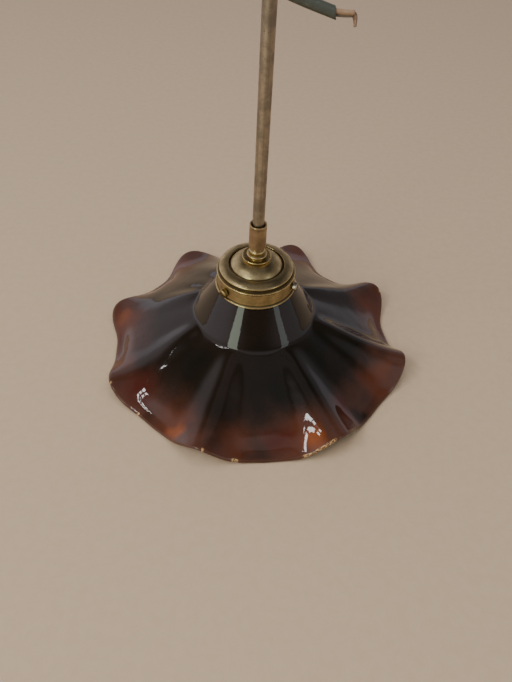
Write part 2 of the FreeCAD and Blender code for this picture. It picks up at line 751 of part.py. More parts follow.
def terminal_screws():
    """The two clamp screws of the terminals, one solid each, in one node."""
    solids = []
    for side in (1, -1):
        reach = "(terminal_length - wire_hole_in - core_outer / 2 - fit_gap)"
        screw = doc.addObject("Part::Cylinder", f"clamp_screw_{'plus' if side > 0 else 'minus'}")
        screw.Placement = Placement(Vector(), Rotation(Vector(0, 1, 0), 90 * side))
        bind(screw, Radius="clamp_screw / 2", Height=reach,
             Placement__Base__x=f"{side} * (terminal_span / 2 + terminal_length / 2 - {reach})",
             Placement__Base__z=f"{TERMINAL_Z} + terminal_height / 2")
        solids.append(screw)
    group = add("Part::Compound", "terminal_screws")
    group.Links = solids


# ---------------------------------------------------------------- flex and cores


def rounded_path(points):
    """Straight runs joined by tangent arcs as large as their two runs allow, and the arcs' radii."""
    edges, radii, start = [], [], points[0]
    for before, corner, after in zip(points, points[1:], points[2:]):
        inward, outward = corner - before, after - corner
        shorter = min(inward.Length, outward.Length)
        inward.normalize()
        outward.normalize()
        back = 0.45 * shorter
        turn = inward.getAngle(outward)
        radius = back / math.tan(turn / 2)
        head, tail = corner - inward * back, corner + outward * back
        centre_way = (outward - inward).normalize()
        middle = corner + centre_way * (radius / math.cos(turn / 2) - radius)
        edges.append(Part.LineSegment(start, head).toShape())
        edges.append(Part.Arc(head, middle, tail).toShape())
        radii.append(radius)
        start = tail
    edges.append(Part.LineSegment(start, points[-1]).toShape())
    return Part.Wire(edges), radii


def swept(label, points, diameter):
    """A round tube along a rounded path, with its volume held against section times length."""
    wire, radii = rounded_path([Vector(*p) for p in points])
    spine = doc.addObject("Part::Feature", label + "_path")
    spine.Shape = wire
    section = doc.addObject("Part::Circle", label + "_section")
    along = Vector(*points[1]) - Vector(*points[0])
    section.Placement = Placement(Vector(*points[0]), Rotation(Vector(0, 0, 1), along))
    bind(section, Radius=f"{diameter} / 2")
    piece = add("Part::Sweep", label)
    piece.Sections = [section]
    piece.Spine = (spine, [f"Edge{k + 1}" for k in range(len(wire.Edges))])
    piece.Solid = True
    piece.Frenet = False
    doc.recompute()
    wanted = math.pi * value(f"{diameter} / 2") ** 2 * wire.Length
    ratio = piece.Shape.Volume / wanted
    bends = [round(r, 1) for r in radii]
    print(f"{label}: length {wire.Length:.1f}, radii {bends}, volume ratio {ratio:.4f}")
    if abs(ratio - 1) > 0.01:
        raise RuntimeError(f"{label}: the tube's volume is off")
    return piece


# The free flex above the rod: up out of the bush, over towards the front and down to its cut
# end, which flicks to the right. Offsets from the exit at the top of the bush.
FLEX_ROUTE = [
    (0.0, 0.0, 0.0),
    (0.0, 0.0, 30.0),
    (-5.0, -14.0, 60.0),
    (-13.0, -40.0, 76.0),
    (-22.0, -68.0, 69.0),
    (-28.0, -86.0, 42.0),
    (-26.0, -84.0, 9.0),
    (-17.0, -76.0, -20.0),
    (-1.0, -68.0, -39.0),
    (19.5, -63.0, -48.0),
    (34.5, -62.0, -52.7),
]


def flex_points():
    lift = value(FLEX_EXIT)
    return [(x, y, z + lift) for x, y, z in FLEX_ROUTE]


def flex_lead():
    swept("flex_lead", flex_points(), "flex_outer")


def lead_end(colour, offset, splay, bend):
    """One insulated core beyond the flex's cut end, and its bare copper end turned down."""
    end, before = Vector(*flex_points()[-1]), Vector(*flex_points()[-2])
    along = (end - before).normalize()
    across = Vector(along.z, 0, -along.x).normalize() * -1
    start = end + across * offset
    way = (along + across * splay + Vector(0, 0, 0.35)).normalize()
    middle = start + along * 4.0
    tip = middle + way * (value("lead_core_length") - 4.0)
    swept(f"lead_core_{colour}", [tuple(start), tuple(middle), tuple(tip)], "lead_core_outer")
    knee = tip + way * 2.4
    copper_end = knee + Vector(*bend).normalize() * (value("copper_length") - 2.4)
    swept(f"lead_copper_{colour}", [tuple(tip), tuple(knee), tuple(copper_end)], "copper_outer")


def cable_in_rod():
    """The flex inside rod, coupling and nipple, from the bush down into the holder cap."""
    foot = f"({NIPPLE_FOOT} - holder_sheet)"
    piece = add("Part::Cylinder", "cable_in_rod")
    bind(piece, Radius="flex_outer / 2", Height=f"{FLEX_EXIT} - {foot}", Placement__Base__z=foot)


def holder_core(label, side):
    """One core from the flex's lower end into its terminal."""
    top = value(f"{NIPPLE_FOOT} - holder_sheet")
    entry = value("terminal_span / 2 - terminal_length / 2 + wire_hole_in")
    block_top = value(f"{TERMINAL_Z} + terminal_height")
    start = side * (value("core_outer / 2") + 0.3)
    drop = top - block_top
    swept(label, [
        (start, 0.0, top),
        (start, 0.0, top - 0.3 * drop),
        (side * entry, 0.0, block_top + 0.3 * drop),
        (side * entry, 0.0, block_top - 0.6 * value("terminal_height")),
    ], "core_outer")


# ---------------------------------------------------------------- build and write


def build():
    glass_shade()
    gallery_cap()
    for number in range(1, int(value("screw_count")) + 1):
        gallery_screw(number)
    for piece in (saucer_collar, spacer_ring, ring_nut, rod_coupling, rod_tube, rod_bush, hollow_nipple,
                  inner_washer, inner_lock_nut, holder_cap, holder_grub_screw, holder_sleeve, holder_liner,
                  holder_insulator, screw_shell, centre_contact):
        piece()
    terminal("terminal_live", -1)
    terminal("terminal_neutral", 1)
    terminal_screws()
    cable_in_rod()
    holder_core("core_live", -1)
    holder_core("core_neutral", 1)
    flex_lead()
    lead_end("brown", 1.55, 0.05, (0.25, 0.0, -1.0))
    lead_end("blue", -1.55, -0.25, (0.6, 0.3, -0.9))


def check_and_write():
    doc.recompute()
    for thing in doc.Objects:
        if {"Invalid", "Error"} & set(thing.State):
            raise RuntimeError(f"{thing.Label} is {thing.State}")
    for piece in PARTS:
        if piece.Shape.isNull() or not piece.Shape.isValid() or not piece.Shape.Solids:
            raise RuntimeError(f"{piece.Label} has no valid solid")
    os.makedirs("parts", exist_ok=True)
    for piece in PARTS:
        piece.Shape.exportStep(f"parts/{piece.Label}.step")
        print(f"{piece.Label}: {len(piece.Shape.Solids)} solid(s), {piece.Shape.Volume / 1000:.2f} cm3")


build()
check_and_write()
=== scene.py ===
"""Pendant lamp with a ruffled amber glass shade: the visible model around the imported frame.

Metres, +Z up the rod, origin on the rod's axis where the shade's rim stands.
Azimuths are measured from -Y towards +X.
"""
import math

import bmesh
import bpy
import numpy as np
from mathutils import Matrix, Vector


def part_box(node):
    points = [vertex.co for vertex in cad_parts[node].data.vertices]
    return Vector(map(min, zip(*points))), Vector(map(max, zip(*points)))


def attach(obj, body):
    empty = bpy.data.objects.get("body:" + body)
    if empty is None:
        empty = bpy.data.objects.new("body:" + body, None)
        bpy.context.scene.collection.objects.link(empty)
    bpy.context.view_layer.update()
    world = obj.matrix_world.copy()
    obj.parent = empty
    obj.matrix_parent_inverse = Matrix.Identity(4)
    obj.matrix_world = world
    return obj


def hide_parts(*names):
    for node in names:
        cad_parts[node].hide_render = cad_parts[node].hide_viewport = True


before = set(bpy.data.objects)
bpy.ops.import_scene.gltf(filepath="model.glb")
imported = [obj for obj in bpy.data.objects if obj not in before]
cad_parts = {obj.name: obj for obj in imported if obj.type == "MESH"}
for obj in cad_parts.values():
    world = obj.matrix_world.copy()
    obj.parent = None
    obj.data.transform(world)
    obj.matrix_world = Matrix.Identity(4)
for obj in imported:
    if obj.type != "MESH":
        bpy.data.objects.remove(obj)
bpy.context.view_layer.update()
MM = 0.001

# ---------------------------------------------------------------- node trees as arithmetic


class Value:
    """A value inside a node tree. Arithmetic on it adds the tree's Math nodes."""

    def __init__(self, tree, socket):
        self.tree = tree
        self.socket = socket

    def math(self, operation, *others):
        operands = dict(enumerate((self, *others)))
        return self.tree.add("ShaderNodeMath", {"operation": operation}, operands)

    def __add__(self, other):
        return self.math("ADD", other)

    def __sub__(self, other):
        return self.math("SUBTRACT", other)

    def __mul__(self, other):
        return self.math("MULTIPLY", other)

    def __truediv__(self, other):
        return self.math("DIVIDE", other)

    def __pow__(self, other):
        return self.math("POWER", other)

    def __neg__(self):
        return self.math("MULTIPLY", -1.0)

    def __rsub__(self, other):
        return self.tree.add("ShaderNodeMath", {"operation": "SUBTRACT"}, {0: other, 1: self})

    __radd__ = __add__
    __rmul__ = __mul__

    def above(self, low, high):
        """0 below low, 1 above high and a smooth step between them."""
        return self.tree.add("ShaderNodeMapRange", {"interpolation_type": "SMOOTHSTEP"},
                             {"Value": self, "From Min": low, "From Max": high})

    def at_least(self, floor):
        return self.math("MAXIMUM", floor)

    def at_most(self, ceiling):
        return self.math("MINIMUM", ceiling)

    def sin(self):
        return self.math("SINE")

    def cos(self):
        return self.math("COSINE")

    def root(self):
        return self.math("SQRT")

    def beside(self, output):
        """Another output of the same node."""
        return Value(self.tree, self.socket.node.outputs[output])


class Tree:
    """A node tree that hands out its nodes' outputs as Values."""

    def __init__(self, tree):
        self.tree = tree

    def add(self, kind, settings=None, values=None, out=0):
        """One node: its settings first, then the values or links of its sockets."""
        node = self.tree.nodes.new(kind)
        for name, setting in (settings or {}).items():
            setattr(node, name, setting)
        for key, value in (values or {}).items():
            self.plug(node.inputs[key], value)
        return Value(self, node.outputs[out])

    def plug(self, socket, value):
        if isinstance(value, Value):
            self.tree.links.new(value.socket, socket)
        else:
            socket.default_value = value

    def blend(self, factor, first, second):
        """One colour turning into another."""
        values = {0: factor, 6: self.rgba(first), 7: self.rgba(second)}
        return self.add("ShaderNodeMix", {"data_type": "RGBA"}, values, out=2)

    @staticmethod
    def rgba(colour):
        return colour if isinstance(colour, Value) else (*colour, 1.0)

    def here(self):
        """The place on the piece, in metres in the lamp's own frame."""
        return self.add("ShaderNodeTexCoord", out="Object")

    def noise(self, place, scale, detail, roughness):
        return self.add("ShaderNodeTexNoise", None, {
            "Vector": place, "Scale": scale, "Detail": detail, "Roughness": roughness})

    def attribute(self, name):
        return self.add("ShaderNodeAttribute", {"attribute_name": name}, out="Fac")

    def vector(self, x, y, z):
        return self.add("ShaderNodeCombineXYZ", None, {0: x, 1: y, 2: z})

    def parts(self, vector):
        first = self.add("ShaderNodeSeparateXYZ", None, {0: vector})
        return [first.beside(axis) for axis in "XYZ"]

    def vector_math(self, operation, *operands, out=0):
        return self.add("ShaderNodeVectorMath", {"operation": operation}, dict(enumerate(operands)), out)

    def scaled(self, vector, factor):
        return self.add("ShaderNodeVectorMath", {"operation": "SCALE"}, {0: vector, "Scale": factor})


# ---------------------------------------------------------------- objects


def placed(name, data):
    """A new object of the scene that holds this data."""
    piece = bpy.data.objects.new(name, data)
    bpy.context.scene.collection.objects.link(piece)
    return piece


def settle(piece, modifier):
    """Keeps what the modifier makes of the piece as its plain mesh."""
    graph = bpy.context.evaluated_depsgraph_get()
    mesh = bpy.data.meshes.new_from_object(piece.evaluated_get(graph))
    piece.modifiers.remove(modifier)
    piece.data = mesh


# ---------------------------------------------------------------- camera

CAMERA_PLACE = (0.00357, -0.41205, 0.4496)
CAMERA_PITCH = 0.826603       # radians below the horizon
CAMERA_ROLL = 0.0571064       # radians
CAMERA_LENS = 31.6715543      # millimetres, as is the sensor
CAMERA_SENSOR = 36.0


def set_camera():
    """Looks down on the lamp from the front, tilted a little to the side."""
    down, tilt = CAMERA_PITCH, CAMERA_ROLL
    right = Vector((1, 0, 0))
    up = Vector((0, math.sin(down), math.cos(down)))
    ahead = Vector((0, math.cos(down), -math.sin(down)))
    across = math.cos(tilt) * right + math.sin(tilt) * up
    top = math.cos(tilt) * up - math.sin(tilt) * right
    camera = placed("camera", bpy.data.cameras.new("camera"))
    camera.data.sensor_width = CAMERA_SENSOR
    camera.data.sensor_fit = "AUTO"
    camera.data.lens = CAMERA_LENS
    camera.data.clip_start = 0.01
    turn = Matrix((across, top, -ahead)).transposed()
    camera.matrix_world = Matrix.Translation(CAMERA_PLACE) @ turn.to_4x4()
    bpy.context.scene.camera = camera


set_camera()

# ---------------------------------------------------------------- flex

# The free flex's route from the top of the bush, in metres.
FLEX_ROUTE = [
    (0.0, 0.0, 0.0),
    (0.0, 0.0, 0.030),
    (-0.005, -0.014, 0.060),
    (-0.013, -0.040, 0.076),
    (-0.022, -0.068, 0.069),
    (-0.028, -0.086, 0.042),
    (-0.026, -0.084, 0.009),
    (-0.017, -0.076, -0.020),
    (-0.001, -0.068, -0.039),
    (0.0195, -0.063, -0.048),
    (0.0345, -0.062, -0.0527),
]
FLEX_EXIT = Vector((0, 0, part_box("rod_bush")[1].z))
FLEX_RADIUS = 3.25 * MM


def route_curve(name, points, radius):
    """A round cord on one smooth open spline through its route."""
    data = bpy.data.curves.new(name, "CURVE")
    data.dimensions = "3D"
    data.bevel_depth = 1.0    # each point's own radius gives the thickness
    data.bevel_resolution = 8
    data.use_fill_caps = True
    data.resolution_u = 16
    spline = data.splines.new("NURBS")
    spline.points.add(len(points) - 1)
    for point, place in zip(spline.points, points):
        point.co = (*place, 1.0)
        point.radius = radius
    spline.order_u = 3
    spline.use_endpoint_u = True
    return placed(name, data)


flex = route_curve("flex_sheath", [FLEX_EXIT + Vector(p) for p in FLEX_ROUTE], FLEX_RADIUS)

# ---------------------------------------------------------------- aged finishes


def new_finish(name, metallic=0.0):
    """A material, its tree and its shader, with the values that are the same all over set."""
    material = bpy.data.materials.new(name)
    material.use_nodes = True
    shader = material.node_tree.nodes["Principled BSDF"]
    shader.inputs["Metallic"].default_value = metallic
    return material, Tree(material.node_tree), shader


def roughen(tree, shader, height, strength, depth):
    """Fine relief from a height, without any change to the mesh."""
    relief = tree.add("ShaderNodeBump", None, {"Strength": strength, "Distance": depth, "Height": height})
    tree.plug(shader.inputs["Normal"], relief)


def radius_of(tree, place):
    x, y, _ = tree.parts(place)
    return (x * x + y * y).root()


def aged_brass(name, tone, tarnish, gloss, marks, grain=1.0):
    """Metal tarnished in patches, darkened in its grooves by grime and painted shade, and rubbed bright along
    its edges.

    marks are the tool's: "spun" rings, "drawn" lines along the rod, or "plain" for none."""
    material, tree, shader = new_finish(name, metallic=1.0)
    here = tree.here()
    height = tree.parts(here)[2]
    patches = tree.noise(here, 95.0, 7.0, 0.62).above(0.40, 0.64)
    clouds = tree.noise(here, 26.0, 4.0, 0.5)
    specks = tree.noise(here, 1500.0, 3.0, 0.6).above(0.62, 0.70)
    stains = tree.noise(here, 420.0, 5.0, 0.7).above(0.60, 0.72)
    worn = tree.attribute("worn")
    grime_and_shade = tree.attribute("grime_and_shade")
    if marks == "spun":
        line = tree.vector(radius_of(tree, here), 0.0, height)
    elif marks == "drawn":
        line = tree.vector_math("MULTIPLY", here, (1.0, 1.0, 0.012))
    else:
        line = here
    lines = tree.noise(line, 1300.0, 4.0, 0.7)
    streaks = tree.noise(line, 260.0, 4.0, 0.65)
    colour = tree.blend(patches * 0.75, tone, tarnish)
    colour = tree.blend((streaks.above(0.45, 0.75) * 0.55 * grain).at_most(1.0), colour, tarnish)
    colour = tree.blend(clouds.above(0.5, 0.75) * 0.45, colour, tuple(0.55 * c for c in tarnish))
    colour = tree.blend(stains * 0.5, colour, (0.10, 0.075, 0.035))
    # Grime and painted shade: near black where the section is sheltered, in its grooves and hollows.
    colour = tree.blend(grime_and_shade * 0.85, colour, (0.045, 0.030, 0.014))
    colour = tree.blend(specks * 0.6, colour, (0.05, 0.045, 0.03))
    colour = tree.blend(worn * 0.65, colour, (0.80, 0.62, 0.27))
    tree.plug(shader.inputs["Base Color"], colour)
    rough = gloss + patches * 0.16 + stains * 0.15 + grime_and_shade * 0.25 - worn * 0.10 + (lines - 0.5) * 0.12
    tree.plug(shader.inputs["Roughness"], rough.at_least(0.12).at_most(0.85))
    relief = lines * 0.5 + tree.noise(here, 900.0, 3.0, 0.6) * 0.5 - specks * 0.4
    roughen(tree, shader, relief, 0.35 * grain, 0.00012)
    return material


def moulded(name, colour, second, roughness, speckle=600.0):
    """A moulded or fired piece: a slightly mottled colour and an uneven skin."""
    material, tree, shader = new_finish(name)
    here = tree.here()
    mottle = tree.noise(here, 120.0, 5.0, 0.6)
    dust = tree.noise(here, speckle, 3.0, 0.6)
    tree.plug(shader.inputs["Base Color"], tree.blend(mottle.above(0.3, 0.75), colour, second))
    tree.plug(shader.inputs["Roughness"], roughness + dust * 0.15)
    roughen(tree, shader, dust, 0.25, 0.0001)
    return material


# Lengths in metres and angles in radians; reach and counts are plain numbers.
SHADE_SIZES = {
    "wall": 3.6 * MM,
    "neck radius": 32.38 * MM,
    "neck height": 82.0 * MM,
    "cone radius": 55.7 * MM,
    "cone foot height": 44.6 * MM,
    "rim radius": 139.38 * MM,
    "valley inset": 6.75 * MM,
    "crest reach": 8.7 * MM,
    "crest height": 14.6 * MM,
    "rim sway": 8.7 * MM,
    "crest sway": 8.0 * MM,
    "lobes": 8.0,
    "first lobe": math.radians(32),
    "collar radius": 29.3 * MM,
    "collar height": 15.0 * MM,
    "collar bead": 1.2 * MM,
    "basin depth": 2.7 * MM,
    "basin reach": 0.91,
    "hand wander": 1.2 * MM,
    "seed": 4.0,
}

# Patches where the smoked glass lets amber or red through, painted in its own hue as the light shining
# through it,
# and patches of darker smoke: azimuth in degrees, reach from neck to rim, half width in millimetres, strength
# and colour.
# Painted light shining through the glass, in its own hues; SOOT is its darkest smoke.
AMBER_GLOW = (0.21, 0.052, 0.008)
RED_BROWN_GLOW = (0.092, 0.024, 0.009)
WINE_RED_GLOW = (0.060, 0.011, 0.007)
SOOT = (0.008, 0.007, 0.005)
TINT_AND_GLOW_PATCHES = [
    (-30, 0.88, 19, 0.60, RED_BROWN_GLOW), (-27, 0.94, 10, 0.85, AMBER_GLOW), (20, 0.89, 22, 0.60, RED_BROWN_GLOW),
    (25, 0.98, 12, 0.90, AMBER_GLOW), (13, 0.86, 14, 0.8, WINE_RED_GLOW), (66, 0.92, 17, 0.60, RED_BROWN_GLOW),
    (72, 0.94, 10, 0.15, AMBER_GLOW), (-97, 0.90, 20, 0.7, RED_BROWN_GLOW), (-98, 0.92, 9, 0.35, AMBER_GLOW),
    (-52, 0.86, 22, 0.7, WINE_RED_GLOW), (-70, 0.92, 16, 0.6, RED_BROWN_GLOW), (112, 0.90, 20, 0.7, RED_BROWN_GLOW),
    (-140, 0.90, 20, 0.7, RED_BROWN_GLOW), (160, 0.90, 20, 0.7, RED_BROWN_GLOW), (-3, 0.94, 20, 0.55, RED_BROWN_GLOW),
    (43, 0.84, 12, 0.7, WINE_RED_GLOW), (50, 0.97, 12, 0.85, SOOT), (-13, 0.76, 14, 0.6, SOOT),
    (88, 0.90, 14, 0.6, SOOT), (-41, 0.97, 9, 0.5, SOOT),
    (5, 1.00, 19, 0.65, SOOT), (-12, 0.98, 10, 0.45, SOOT), (57, 0.90, 12, 0.4, SOOT),
]

# Chips along the rim: azimuth and half width in degrees, and depth in millimetres.
CHIPS = [(21.5, 1.8, 0.9), (25.5, 2.6, 1.2), (29.5, 1.6, 0.8), (-3.5, 1.3, 1.3),
         (-14, 0.5, 0.5), (-45, 0.6, 0.5), (-60, 0.5, 0.5), (118, 0.8, 0.8)]


def direction(azimuth):
    """The x and y of the level unit vector at an azimuth in degrees."""
    return math.sin(math.radians(azimuth)), -math.cos(math.radians(azimuth))


def smoked_glass():
    """Blown glass, near black at the neck; red-brown lower down and amber where the smoke thins, the glass's
    own hue painted as the light shining through it.
    """
    material, tree, shader = new_finish("smoked_amber_glass")
    here = tree.here()
    flat = tree.vector_math("MULTIPLY", here, (1.0, 1.0, 0.0))
    outward = tree.attribute("toward_rim")
    crest = tree.attribute("crest")
    swirl = tree.add("ShaderNodeTexNoise", None, {"Vector": flat, "Scale": 34.0, "Detail": 4.0}, out=1)
    drift = tree.scaled(tree.vector_math("SUBTRACT", swirl, (0.5, 0.5, 0.5)), 0.030)
    at = tree.vector_math("ADD", flat, drift)
    cloud = tree.noise(flat, 24.0, 5.0, 0.6)
    # Red-brown towards the rim: the glass's own hue with painted light shining through it.
    warm = (outward + (cloud - 0.5) * 0.7 - crest * 0.10).above(0.40, 1.05)
    colour = tree.blend(tree.noise(here, 14.0, 3.0, 0.5).above(0.4, 0.65), (0.014, 0.009, 0.006), SOOT)
    colour = tree.blend(warm * 0.72, colour, (0.110, 0.043, 0.029))
    neck, rim = SHADE_SIZES["neck radius"], SHADE_SIZES["rim radius"]
    # Patches of painted light through the glass, in amber, red-brown and wine red, and patches of darker
    # smoke.
    for azimuth, reach, width, strength, patch_colour in TINT_AND_GLOW_PATCHES:
        x, y = direction(azimuth)
        radius = neck + (rim - neck) * reach
        away = tree.vector_math("DISTANCE", at, (radius * x, radius * y, 0.0), out=1)
        near = 1 - away.above(0.15 * width * MM, 1.25 * width * MM)
        colour = tree.blend(near * (strength * (0.55 + cloud * 0.9)).at_most(1.0), colour, patch_colour)
    at_edge = outward.above(0.975, 0.998)
    colour = tree.blend(at_edge * 0.50, colour, (0.070, 0.026, 0.012))
    chipped = None
    bearing = tree.vector_math("NORMALIZE", flat)
    for azimuth, spread, _ in CHIPS:
        away = tree.vector_math("DISTANCE", bearing, (*direction(azimuth), 0.0), out=1)
        near = 1 - away.above(math.radians(0.5 * spread), math.radians(1.15 * spread))
        chipped = near if chipped is None else chipped.at_least(near)
    ragged = tree.noise(here, 620.0, 4.0, 0.7).above(0.46, 0.56)
    chipped = chipped * ragged * outward.above(0.990, 0.998)
    colour = tree.blend(chipped * 0.8, colour, (0.62, 0.38, 0.15))
    tree.plug(shader.inputs["Base Color"], colour)
    smears = tree.noise(here, 60.0, 5.0, 0.65)
    dust = tree.noise(here, 1700.0, 2.0, 0.5).above(0.68, 0.74)
    rough = 0.035 + smears.above(0.52, 0.8) * 0.06 + dust * 0.3 + chipped * 0.3
    tree.plug(shader.inputs["Roughness"], rough)
    shader.inputs["IOR"].default_value = 1.52
    ripple = (tree.noise(here, 55.0, 2.0, 0.5) + tree.noise(here, 170.0, 2.0, 0.5) * 0.22
              + tree.noise(here, 420.0, 2.0, 0.5) * 0.07)
    roughen(tree, shader, ripple + chipped * tree.noise(here, 700.0, 3.0, 0.6) * 0.3, 0.12, 0.0012)
    return material


def sheathing(name, colour, scuff, roughness):
    """Extruded plastic: scuffed pale here and there, with faint lengthwise unevenness."""
    material, tree, shader = new_finish(name)
    here = tree.here()
    scuffs = tree.noise(here, 340.0, 5.0, 0.7).above(0.52, 0.72)
    tree.plug(shader.inputs["Base Color"], tree.blend(scuffs * 0.5, colour, scuff))
    tree.plug(shader.inputs["Roughness"], roughness + scuffs * 0.2)
    roughen(tree, shader, tree.noise(here, 500.0, 4.0, 0.6), 0.3, 0.0002)
    return material


GALLERY_BRASS = aged_brass("spun_brass", (0.64, 0.51, 0.255), (0.39, 0.30, 0.150), 0.28, "spun")
ROD_BRASS = aged_brass("drawn_brass", (0.41, 0.350, 0.270), (0.235, 0.200, 0.158), 0.38, "drawn", 1.4)
COUPLING_BRASS = aged_brass("turned_brass", (0.43, 0.320, 0.200), (0.25, 0.175, 0.105), 0.33, "spun")
SCREW_BRASS = aged_brass("screw_brass", (0.34, 0.25, 0.11), (0.13, 0.09, 0.040), 0.36, "plain")
SCREW_STEEL = aged_brass("plated_screw", (0.62, 0.59, 0.52), (0.34, 0.31, 0.25), 0.28, "plain", 0.6)
HOLDER_BRASS = aged_brass("pressed_brass", (0.50, 0.36, 0.14), (0.28, 0.18, 0.07), 0.32, "spun", 0.6)
COPPER = aged_brass("stranded_copper", (0.46, 0.33, 0.26), (0.27, 0.19, 0.15), 0.45, "plain", 0.6)
INSULATOR = moulded("fired_porcelain", (0.80, 0.78, 0.72), (0.66, 0.62, 0.54), 0.16)
LINER = moulded("pressed_liner", (0.22, 0.12, 0.06), (0.30, 0.18, 0.09), 0.6)
BUSH = moulded("moulded_bush", (0.045, 0.043, 0.040), (0.08, 0.075, 0.07), 0.42)
SHEATH = sheathing("flex_sheath", (0.060, 0.068, 0.056), (0.15, 0.16, 0.13), 0.42)
BROWN_CORE = sheathing("brown_core", (0.30, 0.190, 0.115), (0.40, 0.27, 0.19), 0.45)
GREY_CORE = sheathing("grey_core", (0.150, 0.140, 0.120), (0.34, 0.21, 0.17), 0.45)

# ---------------------------------------------------------------- shapes from node trees


def new_shape(name, sizes, takes_mesh=False):
    """A Geometry Nodes tree, its sizes as Values by name, and the Value of the mesh that it takes, if any."""
    group = bpy.data.node_groups.new(name, "GeometryNodeTree")
    group.is_modifier = True
    group.interface.new_socket("Geometry", in_out="OUTPUT", socket_type="NodeSocketGeometry")
    if takes_mesh:
        group.interface.new_socket("Geometry", in_out="INPUT", socket_type="NodeSocketGeometry")
    for size in sizes:
        group.interface.new_socket(size, in_out="INPUT", socket_type="NodeSocketFloat")
    tree = Tree(group)
    given = group.nodes.new("NodeGroupInput").outputs
    taken = Value(tree, given["Geometry"]) if takes_mesh else None
    return tree, {size: Value(tree, given[size]) for size in sizes}, taken


def close_shape(tree, geometry, material):
    """Ends a Geometry Nodes tree in smooth, real geometry with its material."""
    smooth = tree.add("GeometryNodeSetShadeSmooth", None, {"Geometry": geometry})
    real = tree.add("GeometryNodeRealizeInstances", None, {"Geometry": smooth})
    done = tree.add("GeometryNodeSetMaterial", None, {"Geometry": real, "Material": material})
    tree.plug(tree.tree.nodes.new("NodeGroupOutput").inputs[0], done)
    return tree.tree


def from_tree(name, group, sizes, start=None):
    """Runs a Geometry Nodes tree, on a starting mesh if it needs one, and keeps its result as plain mesh."""
    holder = placed(name, start or bpy.data.meshes.new(name))
    modifier = holder.modifiers.new(name, "NODES")
    modifier.node_group = group
    for item in group.interface.items_tree:
        if item.in_out == "INPUT" and item.name in sizes:
            modifier[item.identifier] = sizes[item.name]
    settle(holder, modifier)
    return holder


# ---------------------------------------------------------------- ruffled glass shade

SHADE_AROUND = 544        # quads in a row
SHADE_ROWS = 79           # points from the collar's top to the rim
COLLAR_SHARE = 0.14       # of the rows
RIM_LOOPS = 4             # across the rounded edge
LOBE_LEAN = math.radians(3.5)    # of the rim's lobes against the ridges
OUTLINE_POWER = 1.5       # higher makes the lobes' tips narrower
OUTLINE_DELAY = 3         # higher keeps the shade round for longer
RIDGE_POWER = 2.8         # higher makes the ridges narrower
BASIN_WIDTH = 0.085       # of the way from the cone's foot to the rim
SEAM_WELD = 1e-5          # metres
WALL_WELD = 2e-5
CHIP_SEED = 5
CHIP_STEPS = 901          # ragged steps round the whole rim


